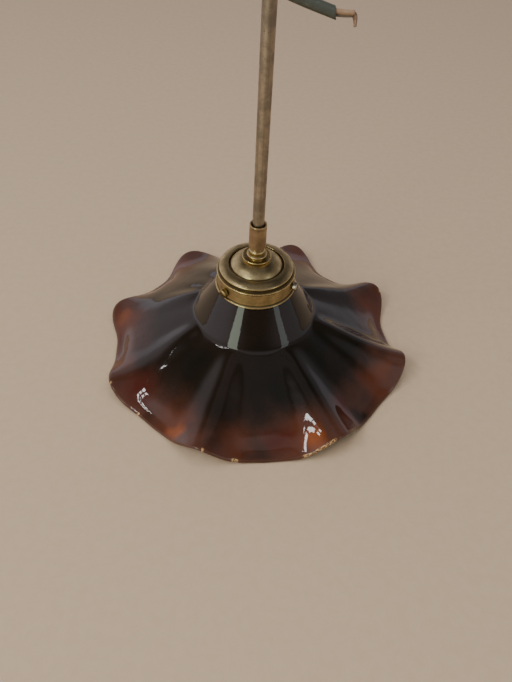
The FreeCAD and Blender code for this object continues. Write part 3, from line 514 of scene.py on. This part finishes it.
def shade_tree(material):
    """Geometry Nodes for the shade: a sheet laid out by azimuth and reach, then given its wall."""
    tree, size, _ = new_shape("ruffled_shade", SHADE_SIZES)
    neck, rim, wall, level = (
        size[name] for name in ("neck radius", "rim radius", "wall", "cone foot height"))

    sheet = tree.add("GeometryNodeMeshGrid", None, {
        "Size X": 1.0, "Size Y": 1.0, "Vertices X": SHADE_AROUND + 1, "Vertices Y": SHADE_ROWS})
    across, along, _ = tree.parts(tree.add("GeometryNodeInputPosition"))
    base = across * (2 * math.pi)
    row = along + 0.5
    reach = ((row - COLLAR_SHARE) / (1 - COLLAR_SHARE)).at_least(0.0)
    up_collar = ((COLLAR_SHARE - row) / COLLAR_SHARE).at_least(0.0)

    crowding = base.sin() * 1.9 + (base * 2 - math.radians(120)).cos() * 1.6 - 1.2
    turn = base + crowding * math.radians(1)
    lobe = ((size["lobes"] * (base - size["first lobe"])).cos() + 1) / 2
    leaning = base + turn.sin() * LOBE_LEAN
    rim_lobe = ((size["lobes"] * (leaning - size["first lobe"])).cos() + 1) / 2
    valley_edge = (rim - size["valley inset"] + size["rim sway"] * (turn - math.radians(13)).cos()
                   - size["rim sway"] * 0.2 * (turn * 2).cos())
    crest_edge = rim + size["crest reach"] * (1 + (turn.sin() - turn.cos()) * 0.15)
    edge = valley_edge + (crest_edge - valley_edge) * rim_lobe ** OUTLINE_POWER
    crest_top = size["crest height"] + size["crest sway"] * (turn - math.radians(45)).cos()

    foot = (size["cone radius"] - neck) / (rim - neck)
    past = ((reach - foot) / (1 - foot)).at_least(0.0)
    radius = neck + (rim - neck) * reach
    radius = radius + (edge - rim) * past ** OUTLINE_DELAY
    cone = size["neck height"] - (size["neck height"] - level) * reach / foot
    valley = level + (wall / 2 - level) * past
    ease = past ** 0.9
    ridge = level + (crest_top - level) * ease * ease * (3 - ease * 2)
    basin = (-(((past - size["basin reach"]) / BASIN_WIDTH) ** 2)).math("EXPONENT") * (1 - lobe) ** 2
    valley = valley - basin * size["basin depth"]
    lobes = valley + (ridge - valley) * lobe ** (past * 0.2 + RIDGE_POWER)
    blend = wall * 0.45
    height = (cone + lobes + ((cone - lobes) ** 2 + blend * blend).root()) / 2
    wander = tree.noise(tree.vector(radius * turn.sin(), radius * turn.cos(), size["seed"]), 30.0, 2.0, 0.5)
    height = height + (wander - 0.5) * size["hand wander"] * past.above(0.0, 0.5)

    radius = radius + (size["collar radius"] - neck) * up_collar.above(0.0, 0.35)
    height = height + size["collar height"] * up_collar
    place = tree.vector(radius * turn.sin(), -(radius * turn.cos()), height)

    def keep(geometry, name, kind, value):
        return tree.add("GeometryNodeStoreNamedAttribute", {"data_type": kind, "domain": "POINT"},
                        {"Geometry": geometry, "Name": name, "Value": value})

    def named(name, kind):
        return tree.add("GeometryNodeInputNamedAttribute", {"data_type": kind}, {"Name": name})

    # What is read off the flat sheet has to be kept before the sheet takes its shape.
    for name, value in (("toward_rim", past), ("crest", lobe), ("up_collar", up_collar),
                        ("outer_half", row.math("GREATER_THAN", 0.5))):
        sheet = keep(sheet, name, "FLOAT", value)
    shaped = tree.add("GeometryNodeSetPosition", None, {"Geometry": sheet, "Position": place})

    # The way out of the glass at its two open edges, kept while the rows are still in order.
    here = tree.add("GeometryNodeInputPosition")
    index = tree.add("GeometryNodeInputIndex")
    at_rim = named("outer_half", "FLOAT")
    neighbour = tree.add("GeometryNodeFieldAtIndex", {"data_type": "FLOAT_VECTOR", "domain": "POINT"},
                         {"Index": index + 1 - at_rim * 2, "Value": here})
    outwards = tree.vector_math("NORMALIZE", tree.vector_math("SUBTRACT", here, neighbour))
    kept = keep(shaped, "outwards", "FLOAT_VECTOR", outwards)
    closed = tree.add("GeometryNodeMergeByDistance", None, {"Geometry": kept, "Distance": SEAM_WELD})
    closed = keep(closed, "facing", "FLOAT_VECTOR", tree.add("GeometryNodeInputNormal"))
    facing = named("facing", "FLOAT_VECTOR")
    climb = named("up_collar", "FLOAT")
    bead = climb.above(0.72, 0.80) * (1 - climb.above(0.90, 1.0)) * size["collar bead"]
    half = wall / 2
    over = tree.add("GeometryNodeSetPosition", None, {
        "Geometry": closed, "Offset": tree.scaled(facing, half + bead)})
    under = tree.add("GeometryNodeSetPosition", None, {
        "Geometry": closed, "Offset": tree.scaled(facing, -half)})
    under = tree.add("GeometryNodeFlipFaces", None, {"Mesh": under})

    # The edge: loops that swing from the upper skin round to the lower one.
    faces = tree.add("GeometryNodeInputMeshEdgeNeighbors")
    boundary = tree.add("FunctionNodeCompare", {"data_type": "INT", "operation": "EQUAL"}, {2: faces, 3: 1})
    outwards = named("outwards", "FLOAT_VECTOR")
    wrapped, ring = over, boundary
    for step in range(RIM_LOOPS):
        start = math.pi / 2 - math.pi * step / RIM_LOOPS
        end = start - math.pi / RIM_LOOPS
        swing = tree.vector_math(
            "ADD", tree.scaled(outwards, half * (math.cos(end) - math.cos(start))),
            tree.scaled(facing, half * (math.sin(end) - math.sin(start))))
        wrapped = tree.add("GeometryNodeExtrudeMesh", {"mode": "EDGES"}, {
            "Mesh": wrapped, "Selection": ring, "Offset": swing})
        ring = wrapped.beside("Top")
    joined = tree.add("GeometryNodeJoinGeometry")
    for skin in (wrapped, under):
        tree.plug(joined.socket.node.inputs[0], skin)
    solid = tree.add("GeometryNodeMergeByDistance", None, {"Geometry": joined, "Distance": WALL_WELD})
    return close_shape(tree, solid, material)


def chip_rim(piece):
    """Knocks small ragged chips out of the shade's rim."""
    mesh = piece.data
    count = len(mesh.vertices)
    places = np.empty(count * 3)
    mesh.vertices.foreach_get("co", places)
    places = places.reshape(-1, 3)
    outward = np.empty(count)
    mesh.attributes["toward_rim"].data.foreach_get("value", outward)
    bearing = np.degrees(np.arctan2(places[:, 0], -places[:, 1]))
    rng = np.random.default_rng(CHIP_SEED)
    jagged = np.interp(bearing, np.linspace(-180, 180, CHIP_STEPS), rng.uniform(0.35, 1.0, CHIP_STEPS))
    for azimuth, spread, depth in CHIPS:
        away = np.abs((bearing - azimuth + 180) % 360 - 180) / spread
        bite = np.clip(1.3 * (1 - away), 0, 1) * jagged * depth * MM
        bite *= np.clip((outward - 0.984) / 0.014, 0, 1)
        inward = places[:, :2] / np.linalg.norm(places[:, :2], axis=1, keepdims=True)
        places[:, :2] -= inward * bite[:, None]
    mesh.vertices.foreach_set("co", places.reshape(-1))
    mesh.update()


def stand_on_floor(piece):
    """Lowers or lifts the piece until its lowest point is at the height of the origin."""
    low = min(vertex.co.z for vertex in piece.data.vertices)
    piece.data.transform(Matrix.Translation((0, 0, -low)))


shade = from_tree("ruffled_shade", shade_tree(smoked_glass()), SHADE_SIZES)
chip_rim(shade)
stand_on_floor(shade)
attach(shade, "lamp")
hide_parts("glass_shade")

# ---------------------------------------------------------------- turned pieces


def bend_points(start, end, radius, step):
    """Points of the arc from start to end; a positive radius bulges to the right of the way there."""
    start, end = np.array(start), np.array(end)
    chord = end - start
    length = np.linalg.norm(chord)
    left = np.array((-chord[1], chord[0])) / length
    rise = math.sqrt(max(radius * radius - length * length / 4, 0.0))
    centre = (start + end) / 2 + left * math.copysign(rise, radius)
    first = math.atan2(*(start - centre)[::-1])
    last = math.atan2(*(end - centre)[::-1])
    sweep = (last - first + math.pi) % (2 * math.pi) - math.pi
    count = max(3, round(abs(sweep * radius) / step))
    angles = first + sweep * np.arange(1, count + 1) / count
    return centre + abs(radius) * np.stack((np.cos(angles), np.sin(angles)), 1)


def section_points(corners, step):
    """A closed section of (radius, height[, bend]) corners in millimetres, walked in short steps.

    A corner whose fourth number is given is reached in steps of that length."""
    walked = []
    previous = corners[-1]
    for corner in corners:
        start, end = previous[:2], corner[:2]
        stride = corner[3] if len(corner) == 4 else step
        if len(corner) > 2 and corner[2]:
            walked.extend(bend_points(start, end, corner[2], stride))
        else:
            count = max(1, round(math.dist(start, end) / stride))
            walked.extend(np.linspace(start, end, count + 1)[1:])
        previous = corner
    return np.array(walked)


def soften(points, rounds):
    """The closed section with its corners rubbed round."""
    for _ in range(rounds):
        points = points / 2 + (np.roll(points, 1, 0) + np.roll(points, -1, 0)) / 4
    return points


def wear_and_shade_of(points):
    """How proud and how sheltered each point of a closed section is, from 0 to 1; the sheltered share is
    drawn as grime and painted shade.
    """
    ahead = np.roll(points, -1, 0) - points
    behind = points - np.roll(points, 1, 0)
    cross = behind[:, 0] * ahead[:, 1] - behind[:, 1] * ahead[:, 0]
    turn = np.arctan2(cross, (behind * ahead).sum(1))
    run = (np.linalg.norm(ahead, axis=1) + np.linalg.norm(behind, axis=1)) / 2
    sense = math.copysign(1.0, turn.sum())
    bend = sense * turn / np.maximum(run, 0.05)
    for _ in range(2):
        bend = bend / 2 + (np.roll(bend, 1) + np.roll(bend, -1)) / 4
    return np.clip((bend - 0.25) / 1.1, 0, 1), np.clip((-bend - 0.10) / 0.7, 0, 1)


def mesh_piece(name, vertices, faces, material, attributes=None):
    """A closed mesh in the lamp's own place, its faces turned outwards."""
    mesh = bpy.data.meshes.new(name)
    mesh.from_pydata([tuple(v) for v in vertices], [], faces)
    shell = bmesh.new()
    shell.from_mesh(mesh)
    bmesh.ops.recalc_face_normals(shell, faces=shell.faces)
    if shell.calc_volume(signed=True) < 0:
        bmesh.ops.reverse_faces(shell, faces=shell.faces)
    shell.to_mesh(mesh)
    shell.free()
    for key, numbers in (attributes or {}).items():
        mesh.attributes.new(key, "FLOAT", "POINT").data.foreach_set("value", np.asarray(numbers, float))
    mesh.shade_smooth()
    mesh.materials.append(material)
    return placed(name, mesh)


def skin_faces(rows, around, endless=False):
    """Quads between rings of points; an endless skin joins its last ring to its first, others are capped."""
    index = np.arange(rows * around).reshape(rows, around)
    beside = np.roll(index, -1, 1)
    if endless:
        corners = (index, beside, np.roll(beside, -1, 0), np.roll(index, -1, 0))
        return np.stack(corners, 2).reshape(-1, 4).tolist()
    faces = np.stack((index[:-1], beside[:-1], beside[1:], index[1:]), 2).reshape(-1, 4).tolist()
    return faces + [index[0].tolist(), index[-1].tolist()]


def turned_piece(name, corners, material, around=128, step=0.35, rounds=2, reshape=None, hollows=()):
    """A ring turned from its closed section.

    reshape may cut a thread into its points, and hollows are circles of the section,
    (radius, height, size), darkened as settled grime and painted shade."""
    section = soften(section_points(corners, step), rounds)
    worn, grime_and_shade = wear_and_shade_of(section)
    for middle_radius, middle_height, size in hollows:
        away = np.hypot(section[:, 0] - middle_radius, section[:, 1] - middle_height)
        grime_and_shade = np.maximum(grime_and_shade, np.clip(1.6 * (1 - away / size), 0, 1))
    angles = 2 * math.pi * np.arange(around) / around
    radius = np.repeat(section[:, :1], around, 1)
    height = np.repeat(section[:, 1:], around, 1)
    if reshape:
        radius = reshape(radius, height, angles[None, :])
    points = np.stack((radius * np.sin(angles), -radius * np.cos(angles), height), 2) * MM
    curvature_marks = {"worn": np.repeat(worn, around), "grime_and_shade": np.repeat(grime_and_shade, around)}
    return mesh_piece(name, points.reshape(-1, 3), skin_faces(len(section), around, True), material, curvature_marks)


def cut_out(piece, cutter):
    """Takes one closed piece out of another and throws the cutter away."""
    modifier = piece.modifiers.new("cut", "BOOLEAN")
    modifier.object = cutter
    modifier.operation = "DIFFERENCE"
    modifier.solver = "EXACT"
    settle(piece, modifier)
    bpy.data.objects.remove(cutter)


def standing_in(piece, body, node):
    """Fixes the piece to its body, in place of the plain node."""
    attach(piece, body)
    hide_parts(node)


def low_of(node):
    """The lowest height of a node, in millimetres."""
    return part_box(node)[0].z / MM


def high_of(node):
    """The greatest height of a node, in millimetres."""
    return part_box(node)[1].z / MM


THREAD_BORE = 5.1                 # radius of the hole in all that goes on the threaded nipple
SCREW_AZIMUTHS = (73, 193, 313)   # degrees
SCREW_LEVEL = 89.0                # the height of the screws' axes


def rod_shaped(name, place, way, corners, material, around=40, step=0.25, rounds=1):
    """A piece turned about its own line, closed at both ends, that starts at place and runs along way."""
    section = section_points(corners, step)[:-1]
    for _ in range(rounds):
        section[1:-1] = section[1:-1] / 2 + (section[2:] + section[:-2]) / 4
    closed = np.concatenate((section, section[::-1] * (-1, 1)))
    worn, grime_and_shade = (side[:len(section)] for side in wear_and_shade_of(closed))
    aside = way.orthogonal().normalized()
    over = way.cross(aside)
    vertices, curvature_marks, grime_and_shade_marks = [], [], []
    angles = 2 * math.pi * np.arange(around) / around
    for (radius, along), proud, low in zip(section, worn, grime_and_shade):
        for angle in angles:
            spoke = aside * math.cos(angle) + over * math.sin(angle)
            vertices.append(place + (way * along + spoke * radius) * MM)
        curvature_marks += [proud] * around
        grime_and_shade_marks += [low] * around
    faces = skin_faces(len(section), around)
    return mesh_piece(name, vertices, faces, material, {"worn": curvature_marks, "grime_and_shade": grime_and_shade_marks})


def gallery():
    """Spun cap: flat table, dome, groove, ovolo, groove, bead, skirt and a rolled lower bead."""
    foot, top = low_of("gallery_cap"), high_of("gallery_cap")
    coarse = 1.6    # steps inside, where nothing is seen
    inside = [
        (THREAD_BORE, top - 1.2, 0, coarse), (12.0, top - 1.2, 0, coarse), (22.4, top - 7.9, -15.8, coarse),
        (31.5, foot + 17.5, -15.8, coarse), (32.9, foot + 15.7, 0, coarse), (33.3, foot + 13.7, 0, coarse),
        (33.8, foot + 2.6, 0, coarse), (35.2, foot, 0, coarse)]
    lower_bead = [(36.2, foot), (36.7, foot + 0.9, 0.75), (36.1, foot + 1.6, 0.75), (34.9, foot + 2.1)]
    skirt = [(34.5, foot + 13.5), (34.3, foot + 14.1)]
    upper_bead = [(34.9, foot + 14.5), (34.9, foot + 16.2, 1.0)]
    groove_and_ovolo = [
        (32.5, foot + 16.5), (32.5, foot + 18.4), (33.3, foot + 19.6, 1.2), (25.0, top - 6.3, 11.5)]
    groove_and_dome = [(24.5, top - 7.9), (23.3, top - 8.0), (22.9, top - 6.7), (12.2, top - 0.2, 17)]
    table = [(11.4, top), (THREAD_BORE, top)]
    corners = inside + lower_bead + skirt + upper_bead + groove_and_ovolo + groove_and_dome + table
    # The two grooves, darkened with grime and painted shade.
    hollows = [(32.6, foot + 17.5, 1.9), (23.9, top - 7.9, 1.3)]
    piece = turned_piece("gallery", corners, GALLERY_BRASS, around=168, step=0.3, hollows=hollows)
    start, end, hole = 28, 42, 2.0
    drill = [(0, start), (hole, start), (hole, end), (0, end)]
    for azimuth in SCREW_AZIMUTHS:
        axis, way = Vector((0, 0, SCREW_LEVEL * MM)), Vector((*direction(azimuth), 0))
        cut_out(piece, rod_shaped("drill", axis, way, drill, GALLERY_BRASS, 28, 4, 0))
    standing_in(piece, "lamp", "gallery_cap")


def gallery_screw(number, azimuth):
    """Slotted screw with a low round head, its shank through the skirt towards the glass."""
    x, y = direction(azimuth)
    way = Vector((x, y, 0))
    axis = Vector((0, 0, SCREW_LEVEL * MM))
    tip, neck, end = 30.45, 35.5, 39.5    # from the rod's axis: the point, under the head and its top
    shank, head = 1.75, 4.1
    corners = [(0, tip), (0.9, tip), (shank, tip + 0.8), (shank, neck), (3.7, neck), (head, neck + 0.35),
               (head, end - 1.1), (3.1, end - 0.1, 1.3), (0, end + 0.02, 16)]
    finish = SCREW_STEEL if number == 1 else SCREW_BRASS
    piece = rod_shaped(f"glass_screw_{number}", axis, way, corners, finish, 48, 0.22)
    slot = bmesh.new()
    turn = Matrix((way, Vector((-y, x, 0)), Vector((0, 0, 1)))).transposed().to_4x4()
    tilt = Matrix.Rotation(math.radians(25 + 50 * number), 4, "X")
    deep, long, wide = 2.8 * MM, 12 * MM, 0.95 * MM
    place = Matrix.Translation(axis + way * (end * MM)) @ turn @ tilt @ Matrix.Diagonal((deep, long, wide, 1))
    bmesh.ops.create_cube(slot, size=1.0, matrix=place)
    mesh = bpy.data.meshes.new("slot")
    slot.to_mesh(mesh)
    slot.free()
    cut_out(piece, placed("slot", mesh))
    standing_in(piece, f"glass_screw_{number}", f"gallery_screw_{number}")


def stacked_ring(name, node, corners, finish=GALLERY_BRASS, step=0.2):
    """One of the turned rings and sleeves on the threaded nipple."""
    standing_in(turned_piece(name, corners, finish, step=step, rounds=1), "lamp", node)


def neck_rings():
    """Saucer, spacer and ring nut between the gallery and the coupling."""
    foot = low_of("saucer_collar")
    rim = 12.65
    saucer = [
        (THREAD_BORE, foot), (rim - 2.6, foot), (rim, foot + 1.7, 5), (rim, foot + 2.8, 0.58),
        (rim - 1.1, foot + 2.3, 0.75), (rim - 3.4, foot + 1.2, -4.4), (THREAD_BORE, foot + 1.2)]
    stacked_ring("saucer", "saucer_collar", saucer)
    foot, top = low_of("spacer_ring"), high_of("spacer_ring")
    rim = 8.5
    spacer = [
        (THREAD_BORE, foot), (rim - 1.6, foot), (rim - 1.6, foot + 1.5), (rim, foot + 2.4),
        (rim, top - 0.7, 1.1), (rim - 1.2, top), (THREAD_BORE, top)]
    stacked_ring("spacer", "spacer_ring", spacer)
    foot, top = low_of("ring_nut"), high_of("ring_nut")
    rim = 5.9
    nut = [(THREAD_BORE, foot), (rim, foot), (rim, top - 0.8, 2.2), (rim, top), (THREAD_BORE, top)]
    stacked_ring("ring_nut", "ring_nut", nut)


def coupling():
    """Turned sleeve with a coved foot, fine turning lines and a countersunk mouth."""
    foot, top = low_of("rod_coupling"), high_of("rod_coupling")
    corners = [
        (THREAD_BORE, foot), (6.05, foot), (6.65, foot + 1.0, -1.2), (7.5, foot + 2.2), (7.5, foot + 3.4),
        (7.3, foot + 3.7), (7.5, foot + 4.0), (7.5, top - 3.2), (7.3, top - 2.9), (7.5, top - 2.6),
        (7.5, top - 0.6), (7.05, top, 0.65), (6.5, top), (5.9, top - 0.7), (5.9, top - 1.3),
        (5.35, top - 1.7), (5.35, top - 7.6), (THREAD_BORE, top - 8.1)]
    stacked_ring("coupling", "rod_coupling", corners, COUPLING_BRASS, 0.25)


def rod():
    """Drawn tube with a fine thread cut on its upper end, above a relief groove."""
    foot, top = low_of("rod_tube"), high_of("rod_tube")
    bore, side, pitch, depth, length = 4.0, 5.0, 1.0, 0.42, 16.0
    thread_foot = top - length
    corners = [
        (bore, foot, 0, 8.0), (side - 0.3, foot, 0, 0.4), (side, foot + 0.3, 0, 0.3),
        (side, thread_foot - 1.5, 0, 4.0), (side - 0.1, thread_foot - 1.25, 0, 0.2),
        (side - 0.4, thread_foot - 1.2, 0, 0.2), (side - 0.4, thread_foot, 0, 0.3),
        (side - 0.1, thread_foot, 0, 0.3), (side - 0.1, top - 0.4, 0, 0.125), (side - 0.5, top, 0, 0.2),
        (bore, top, 0, 0.3)]

    def threaded(radius, height, angle):
        phase = (height / pitch - angle / (2 * math.pi)) % 1.0
        groove = np.clip(1.5 * np.abs(2 * phase - 1) - 0.25, 0, 1)
        cut = (radius > side - 0.45) & (height > thread_foot + 0.05)
        return radius - np.where(cut, depth * groove * np.clip((top + 0.2 - height) / 0.6, 0, 1), 0)

    piece = turned_piece("rod", corners, ROD_BRASS, around=64, rounds=0, reshape=threaded)
    standing_in(piece, "lamp", "rod_tube")


def lamp_thread_shell():
    """Screw shell with the rolled thread that takes the lamp's cap, and a flange on top."""
    foot, top = low_of("screw_shell"), high_of("screw_shell")
    inner, sheet, length, pitch, depth, run_out = 13.25, 0.5, 16.2, 3.6, 0.8, 1.2
    wide = inner + 1.0
    corners = [
        (inner, foot), (inner + sheet, foot), (inner + sheet, foot + length),
        (wide + sheet, foot + length + 0.5), (wide + sheet - 0.2, top - 0.5, 0, 1.0), (wide + 0.6, top - 0.5),
        (wide + 0.6, top), (wide, top), (wide, foot + length + 0.6, 0, 1.0), (inner, foot + length)]

    def rolled(radius, height, angle):
        wave = 0.5 + 0.5 * np.sin(2 * math.pi * height / pitch - angle)
        fade = np.clip((height - foot - 0.4) / run_out, 0, 1)
        fade = fade * np.clip((foot + length - 0.6 - height) / run_out, 0, 1)
        return radius + depth * wave * fade

    piece = turned_piece("lamp_thread_shell", corners, HOLDER_BRASS, 96, 0.25, 1, rolled)
    standing_in(piece, "lamp", "screw_shell")


gallery()
for count, bearing in enumerate(SCREW_AZIMUTHS, start=1):
    gallery_screw(count, bearing)
neck_rings()
coupling()
rod()
lamp_thread_shell()

# ---------------------------------------------------------------- the flex's stripped end

STRAND_SIZES = {"bundle radius": 0.66 * MM, "wire radius": 0.30 * MM, "turns": 1.3}
OUTER_WIRES = 8
CORE_STRAIGHT, CORE_REST = 4.0, 7.6       # millimetres of core before and after its bend
COPPER_STUB, COPPER_REST = 1.7, 6.4       # and of copper
TUCKED_IN = 1.5                           # how far a core starts inside the sheath


def strand_tree(material):
    """Geometry Nodes: fine wires twisted about a middle one along a path, drawn together towards its end."""
    tree, size, line = new_shape("twisted_strands", STRAND_SIZES, takes_mesh=True)
    path = tree.add("GeometryNodeMeshToCurve", None, {"Mesh": line})
    path = tree.add("GeometryNodeResampleCurve", None, {"Curve": path, "Count": 40})
    copies = tree.add("GeometryNodeDuplicateElements", {"domain": "SPLINE"},
                      {"Geometry": path, "Amount": OUTER_WIRES + 1})
    which = copies.beside("Duplicate Index")
    along = tree.add("GeometryNodeSplineParameter")
    tangent = tree.add("GeometryNodeInputTangent")
    normal = tree.add("GeometryNodeInputNormal")
    across = tree.vector_math("CROSS_PRODUCT", tangent, normal)
    ring = (which - 1).at_least(0.0)
    out = which.at_most(1.0) * size["bundle radius"] * (1 - along.above(0.72, 1.0) * 0.25)
    jitter = tree.noise(tree.vector(which * 3.7, along * 5.0, 0.0), 2.2, 2.0, 0.5)
    angle = ring * (2 * math.pi / OUTER_WIRES) + along * size["turns"] * (2 * math.pi) + (jitter - 0.5) * 1.1
    out = out * (0.80 + jitter * 0.4)
    offset = tree.vector_math(
        "ADD", tree.scaled(normal, out * angle.cos()), tree.scaled(across, out * angle.sin()))
    wires = tree.add("GeometryNodeSetPosition", None, {"Geometry": copies, "Offset": offset})
    section = tree.add("GeometryNodeCurvePrimitiveCircle", None, {
        "Resolution": 8, "Radius": size["wire radius"]})
    solid = tree.add("GeometryNodeCurveToMesh", None, {
        "Curve": wires, "Profile Curve": section, "Fill Caps": True})
    return close_shape(tree, solid, material)


def path_mesh(name, points):
    """An open line of vertices for a tree to follow."""
    mesh = bpy.data.meshes.new(name)
    mesh.from_pydata([tuple(p) for p in points], [(i, i + 1) for i in range(len(points) - 1)], [])
    return mesh


def eased(points, count):
    """A smooth run of points through the corners' middles, from the first to the last."""
    middles = [points[0]] + [(a + b) / 2 for a, b in zip(points[1:-2], points[2:-1])] + [points[-1]]
    path = [points[0]]
    for start, corner, end in zip(middles, points[1:-1], middles[1:]):
        for step in range(1, count + 1):
            t = step / count
            path.append(start * (1 - t) ** 2 + corner * (2 * t * (1 - t)) + end * t ** 2)
    return path


def sleeve(name, path, radii, material, around=28):
    """A round skin along a path, closed at both ends, with a radius for each of its points."""
    aside = (path[1] - path[0]).orthogonal().normalized()
    rings = []
    for i, (place, radius) in enumerate(zip(path, radii)):
        way = (path[min(i + 1, len(path) - 1)] - path[max(i - 1, 0)]).normalized()
        aside = (aside - way * aside.dot(way)).normalized()
        over = way.cross(aside)
        rings += [place + (aside * math.cos(a) + over * math.sin(a)) * radius
                  for a in (2 * math.pi * k / around for k in range(around))]
    return mesh_piece(name, rings, skin_faces(len(path), around), material)


def cut_end():
    """Where the flex's sheath is cut, and the way it points there."""
    before, end = (FLEX_EXIT + Vector(point) for point in FLEX_ROUTE[-2:])
    return end, (end - before).normalized()


def stripped_core(colour, offset, splay, bend, material):
    """One core past the sheath's cut end, its skin ending in a small lip, and its twisted copper."""
    end, along = cut_end()
    across = Vector((-along.z, 0, along.x)).normalized()
    across = (across * 0.74 + along.cross(across) * 0.67).normalized()    # the cores lie on a slant
    start = end + across * (offset * MM)
    way = (along + across * splay + Vector((0, 0, 0.35))).normalized()
    middle = start + along * (CORE_STRAIGHT * MM)
    tip = middle + way * (CORE_REST * MM)
    path = eased([start - along * (TUCKED_IN * MM), middle, tip], 14)
    round_skin, lip, nose = 1.38 * MM, 1.42 * MM, 1.05 * MM
    radii = [round_skin] * (len(path) - 1) + [lip, nose]
    skin = sleeve(f"core_{colour}", path + [tip + way * (0.25 * MM)], radii, material)
    standing_in(skin, "lamp", f"lead_core_{colour}")
    knee = tip + way * (COPPER_STUB * MM)
    copper_end = knee + Vector(bend).normalized() * (COPPER_REST * MM)
    line = eased([tip - way * (1.0 * MM), knee, copper_end], 12)
    wires = from_tree(f"copper_{colour}", STRANDS, STRAND_SIZES, path_mesh(f"copper_{colour}", line))
    standing_in(wires, "lamp", f"lead_copper_{colour}")


def sheath_end():
    """The sheath's torn lip round the two cores, on the end of the flex."""
    end, way = cut_end()
    rng = np.random.default_rng(11)
    aside = way.orthogonal().normalized()
    over = way.cross(aside)
    around, tear = 48, 6    # points round the lip, and points in each of its tears
    tears = rng.uniform(-0.5, 0.9, around // tear + 1)
    ragged = np.interp(np.arange(around), np.arange(0, around + tear, tear), tears)
    ragged[-3:] = np.linspace(ragged[-4], ragged[0], 5)[1:-1]
    turns = 2 * math.pi * np.arange(around) / around
    slant = -(np.cos(turns) * aside.z + np.sin(turns) * over.z)
    vertices = []
    # Radius and reach, from the bore over the outside and back, in millimetres.
    rings = ((2.55, -0.6), (3.24, -0.8), (3.26, -0.72), (3.26, 0.15), (3.12, 0.45), (2.75, 0.4), (2.55, 0.0))
    for radius, reach in rings:
        for k in range(around):
            angle = 2 * math.pi * k / around
            spoke = aside * math.cos(angle) + over * math.sin(angle)
            forward = reach + (1.5 * slant[k] + 0.4 * ragged[k] + 1.4 if reach > -0.5 else 0)
            vertices.append(end + (way * forward + spoke * radius) * MM)
    piece = mesh_piece("sheath_lip", vertices, skin_faces(len(rings), around, True), SHEATH)
    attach(piece, "lamp")


STRANDS = strand_tree(COPPER)
stripped_core("brown", 1.35, -0.02, (-0.05, 0.0, -1.0), BROWN_CORE)
stripped_core("blue", -1.35, 0.06, (0.12, 0.05, -1.0), GREY_CORE)
sheath_end()

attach(flex, "lamp")
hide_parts("flex_lead")
flex.data.materials.append(SHEATH)

# ---------------------------------------------------------------- pieces that keep their shape

FINISHES = [
    (BUSH, ["rod_bush"]),
    (HOLDER_BRASS, ["hollow_nipple", "inner_washer", "inner_lock_nut", "holder_cap", "holder_sleeve",
                    "centre_contact"]),
    (SCREW_BRASS, ["holder_grub_screw", "terminal_live", "terminal_neutral", "terminal_screws"]),
    (LINER, ["holder_liner"]),
    (INSULATOR, ["holder_insulator"]),
    (SHEATH, ["cable_in_rod"]),
    (BROWN_CORE, ["core_live"]),
    (GREY_CORE, ["core_neutral"]),
]
for finish, nodes in FINISHES:
    for name in nodes:
        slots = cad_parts[name].data.materials
        slots.clear()
        slots.append(finish)

# ---------------------------------------------------------------- studio

LIT_CENTRE = Vector((0, 0, 0.08))    # what all the panels face


def panel(name, azimuth, elevation, distance, width, height, power, colour, mirrored=True):
    """A soft rectangular light that faces the lamp; one that isn't mirrored leaves no shape in the gloss."""
    light = bpy.data.lights.new(name, "AREA")
    light.shape = "RECTANGLE"
    light.size, light.size_y = width, height
    light.energy = power
    light.color = colour
    lamp = placed(name, light)
    x, y = direction(azimuth)
    rise = math.radians(elevation)
    way = Vector((x * math.cos(rise), y * math.cos(rise), math.sin(rise)))
    lamp.location = LIT_CENTRE + way * distance
    lamp.rotation_euler = way.to_track_quat("Z", "Y").to_euler()
    lamp.visible_camera = False
    lamp.visible_glossy = mirrored


panel("window_left", -33, 20, 2.2, 0.62, 1.3, 9, (0.86, 1.0, 0.78))
panel("window_right", 57, 22, 2.2, 0.5, 1.1, 2, (0.85, 1.0, 0.95))
for row, level in enumerate((45, 51)):
    for column, bearing in enumerate((-70, -62, -54)):
        panel(f"window_high_{row}{column}", bearing, level, 2.2, 0.13, 0.12, 0.9, (1.0, 1.0, 0.98))
panel("day", -50, 45, 2.4, 1.6, 1.6, 30, (1.0, 0.97, 0.92), mirrored=False)
panel("ceiling", 60, 80, 2.4, 2.0, 2.0, 26, (1.0, 0.97, 0.92), mirrored=False)
panel("back_wall", 180, 20, 2.4, 3.4, 1.6, 8, (1.0, 0.97, 0.94), mirrored=False)

# The room as the gloss sees it: walls on three sides, a lit patch over the viewer's shoulder,
# a glow from straight above and a pale band along the horizon.
world = bpy.data.worlds.new("studio")
bpy.context.scene.world = world
world.use_nodes = True
room = Tree(world.node_tree)
to_right, to_back, to_top = room.parts(room.add("ShaderNodeTexCoord", out="Generated"))
walls = (to_back.above(-0.1, 1.0) * 0.20 + (-to_right).above(0.1, 0.9) * 0.52
         + to_right.above(0.3, 0.95) * 0.16)
over_shoulder = (-to_back).above(0.05, 0.50) * to_top.above(0.38, 0.60) * (1 - to_top.above(0.82, 0.92))
background = world.node_tree.nodes["Background"]
background.inputs["Color"].default_value = (0.98, 0.92, 1.0, 1)
room.plug(background.inputs["Strength"],
          0.03 + walls * (1 - to_top.above(0.52, 0.82)) + to_top.above(0.89, 0.945) * 0.15
          + over_shoulder * 0.40 + (1 - (to_top * to_top).above(0.02, 0.09)) * 0.24)

floor_finish = moulded("pale_floor", (0.54, 0.41, 0.285), (0.51, 0.38, 0.26), 0.5, 90.0)
bpy.ops.mesh.primitive_plane_add(size=6.0, location=(0, 0, -0.0002))
floor = bpy.context.object
floor.name = "floor"
floor.data.materials.append(floor_finish)

bpy.context.view_layer.update()
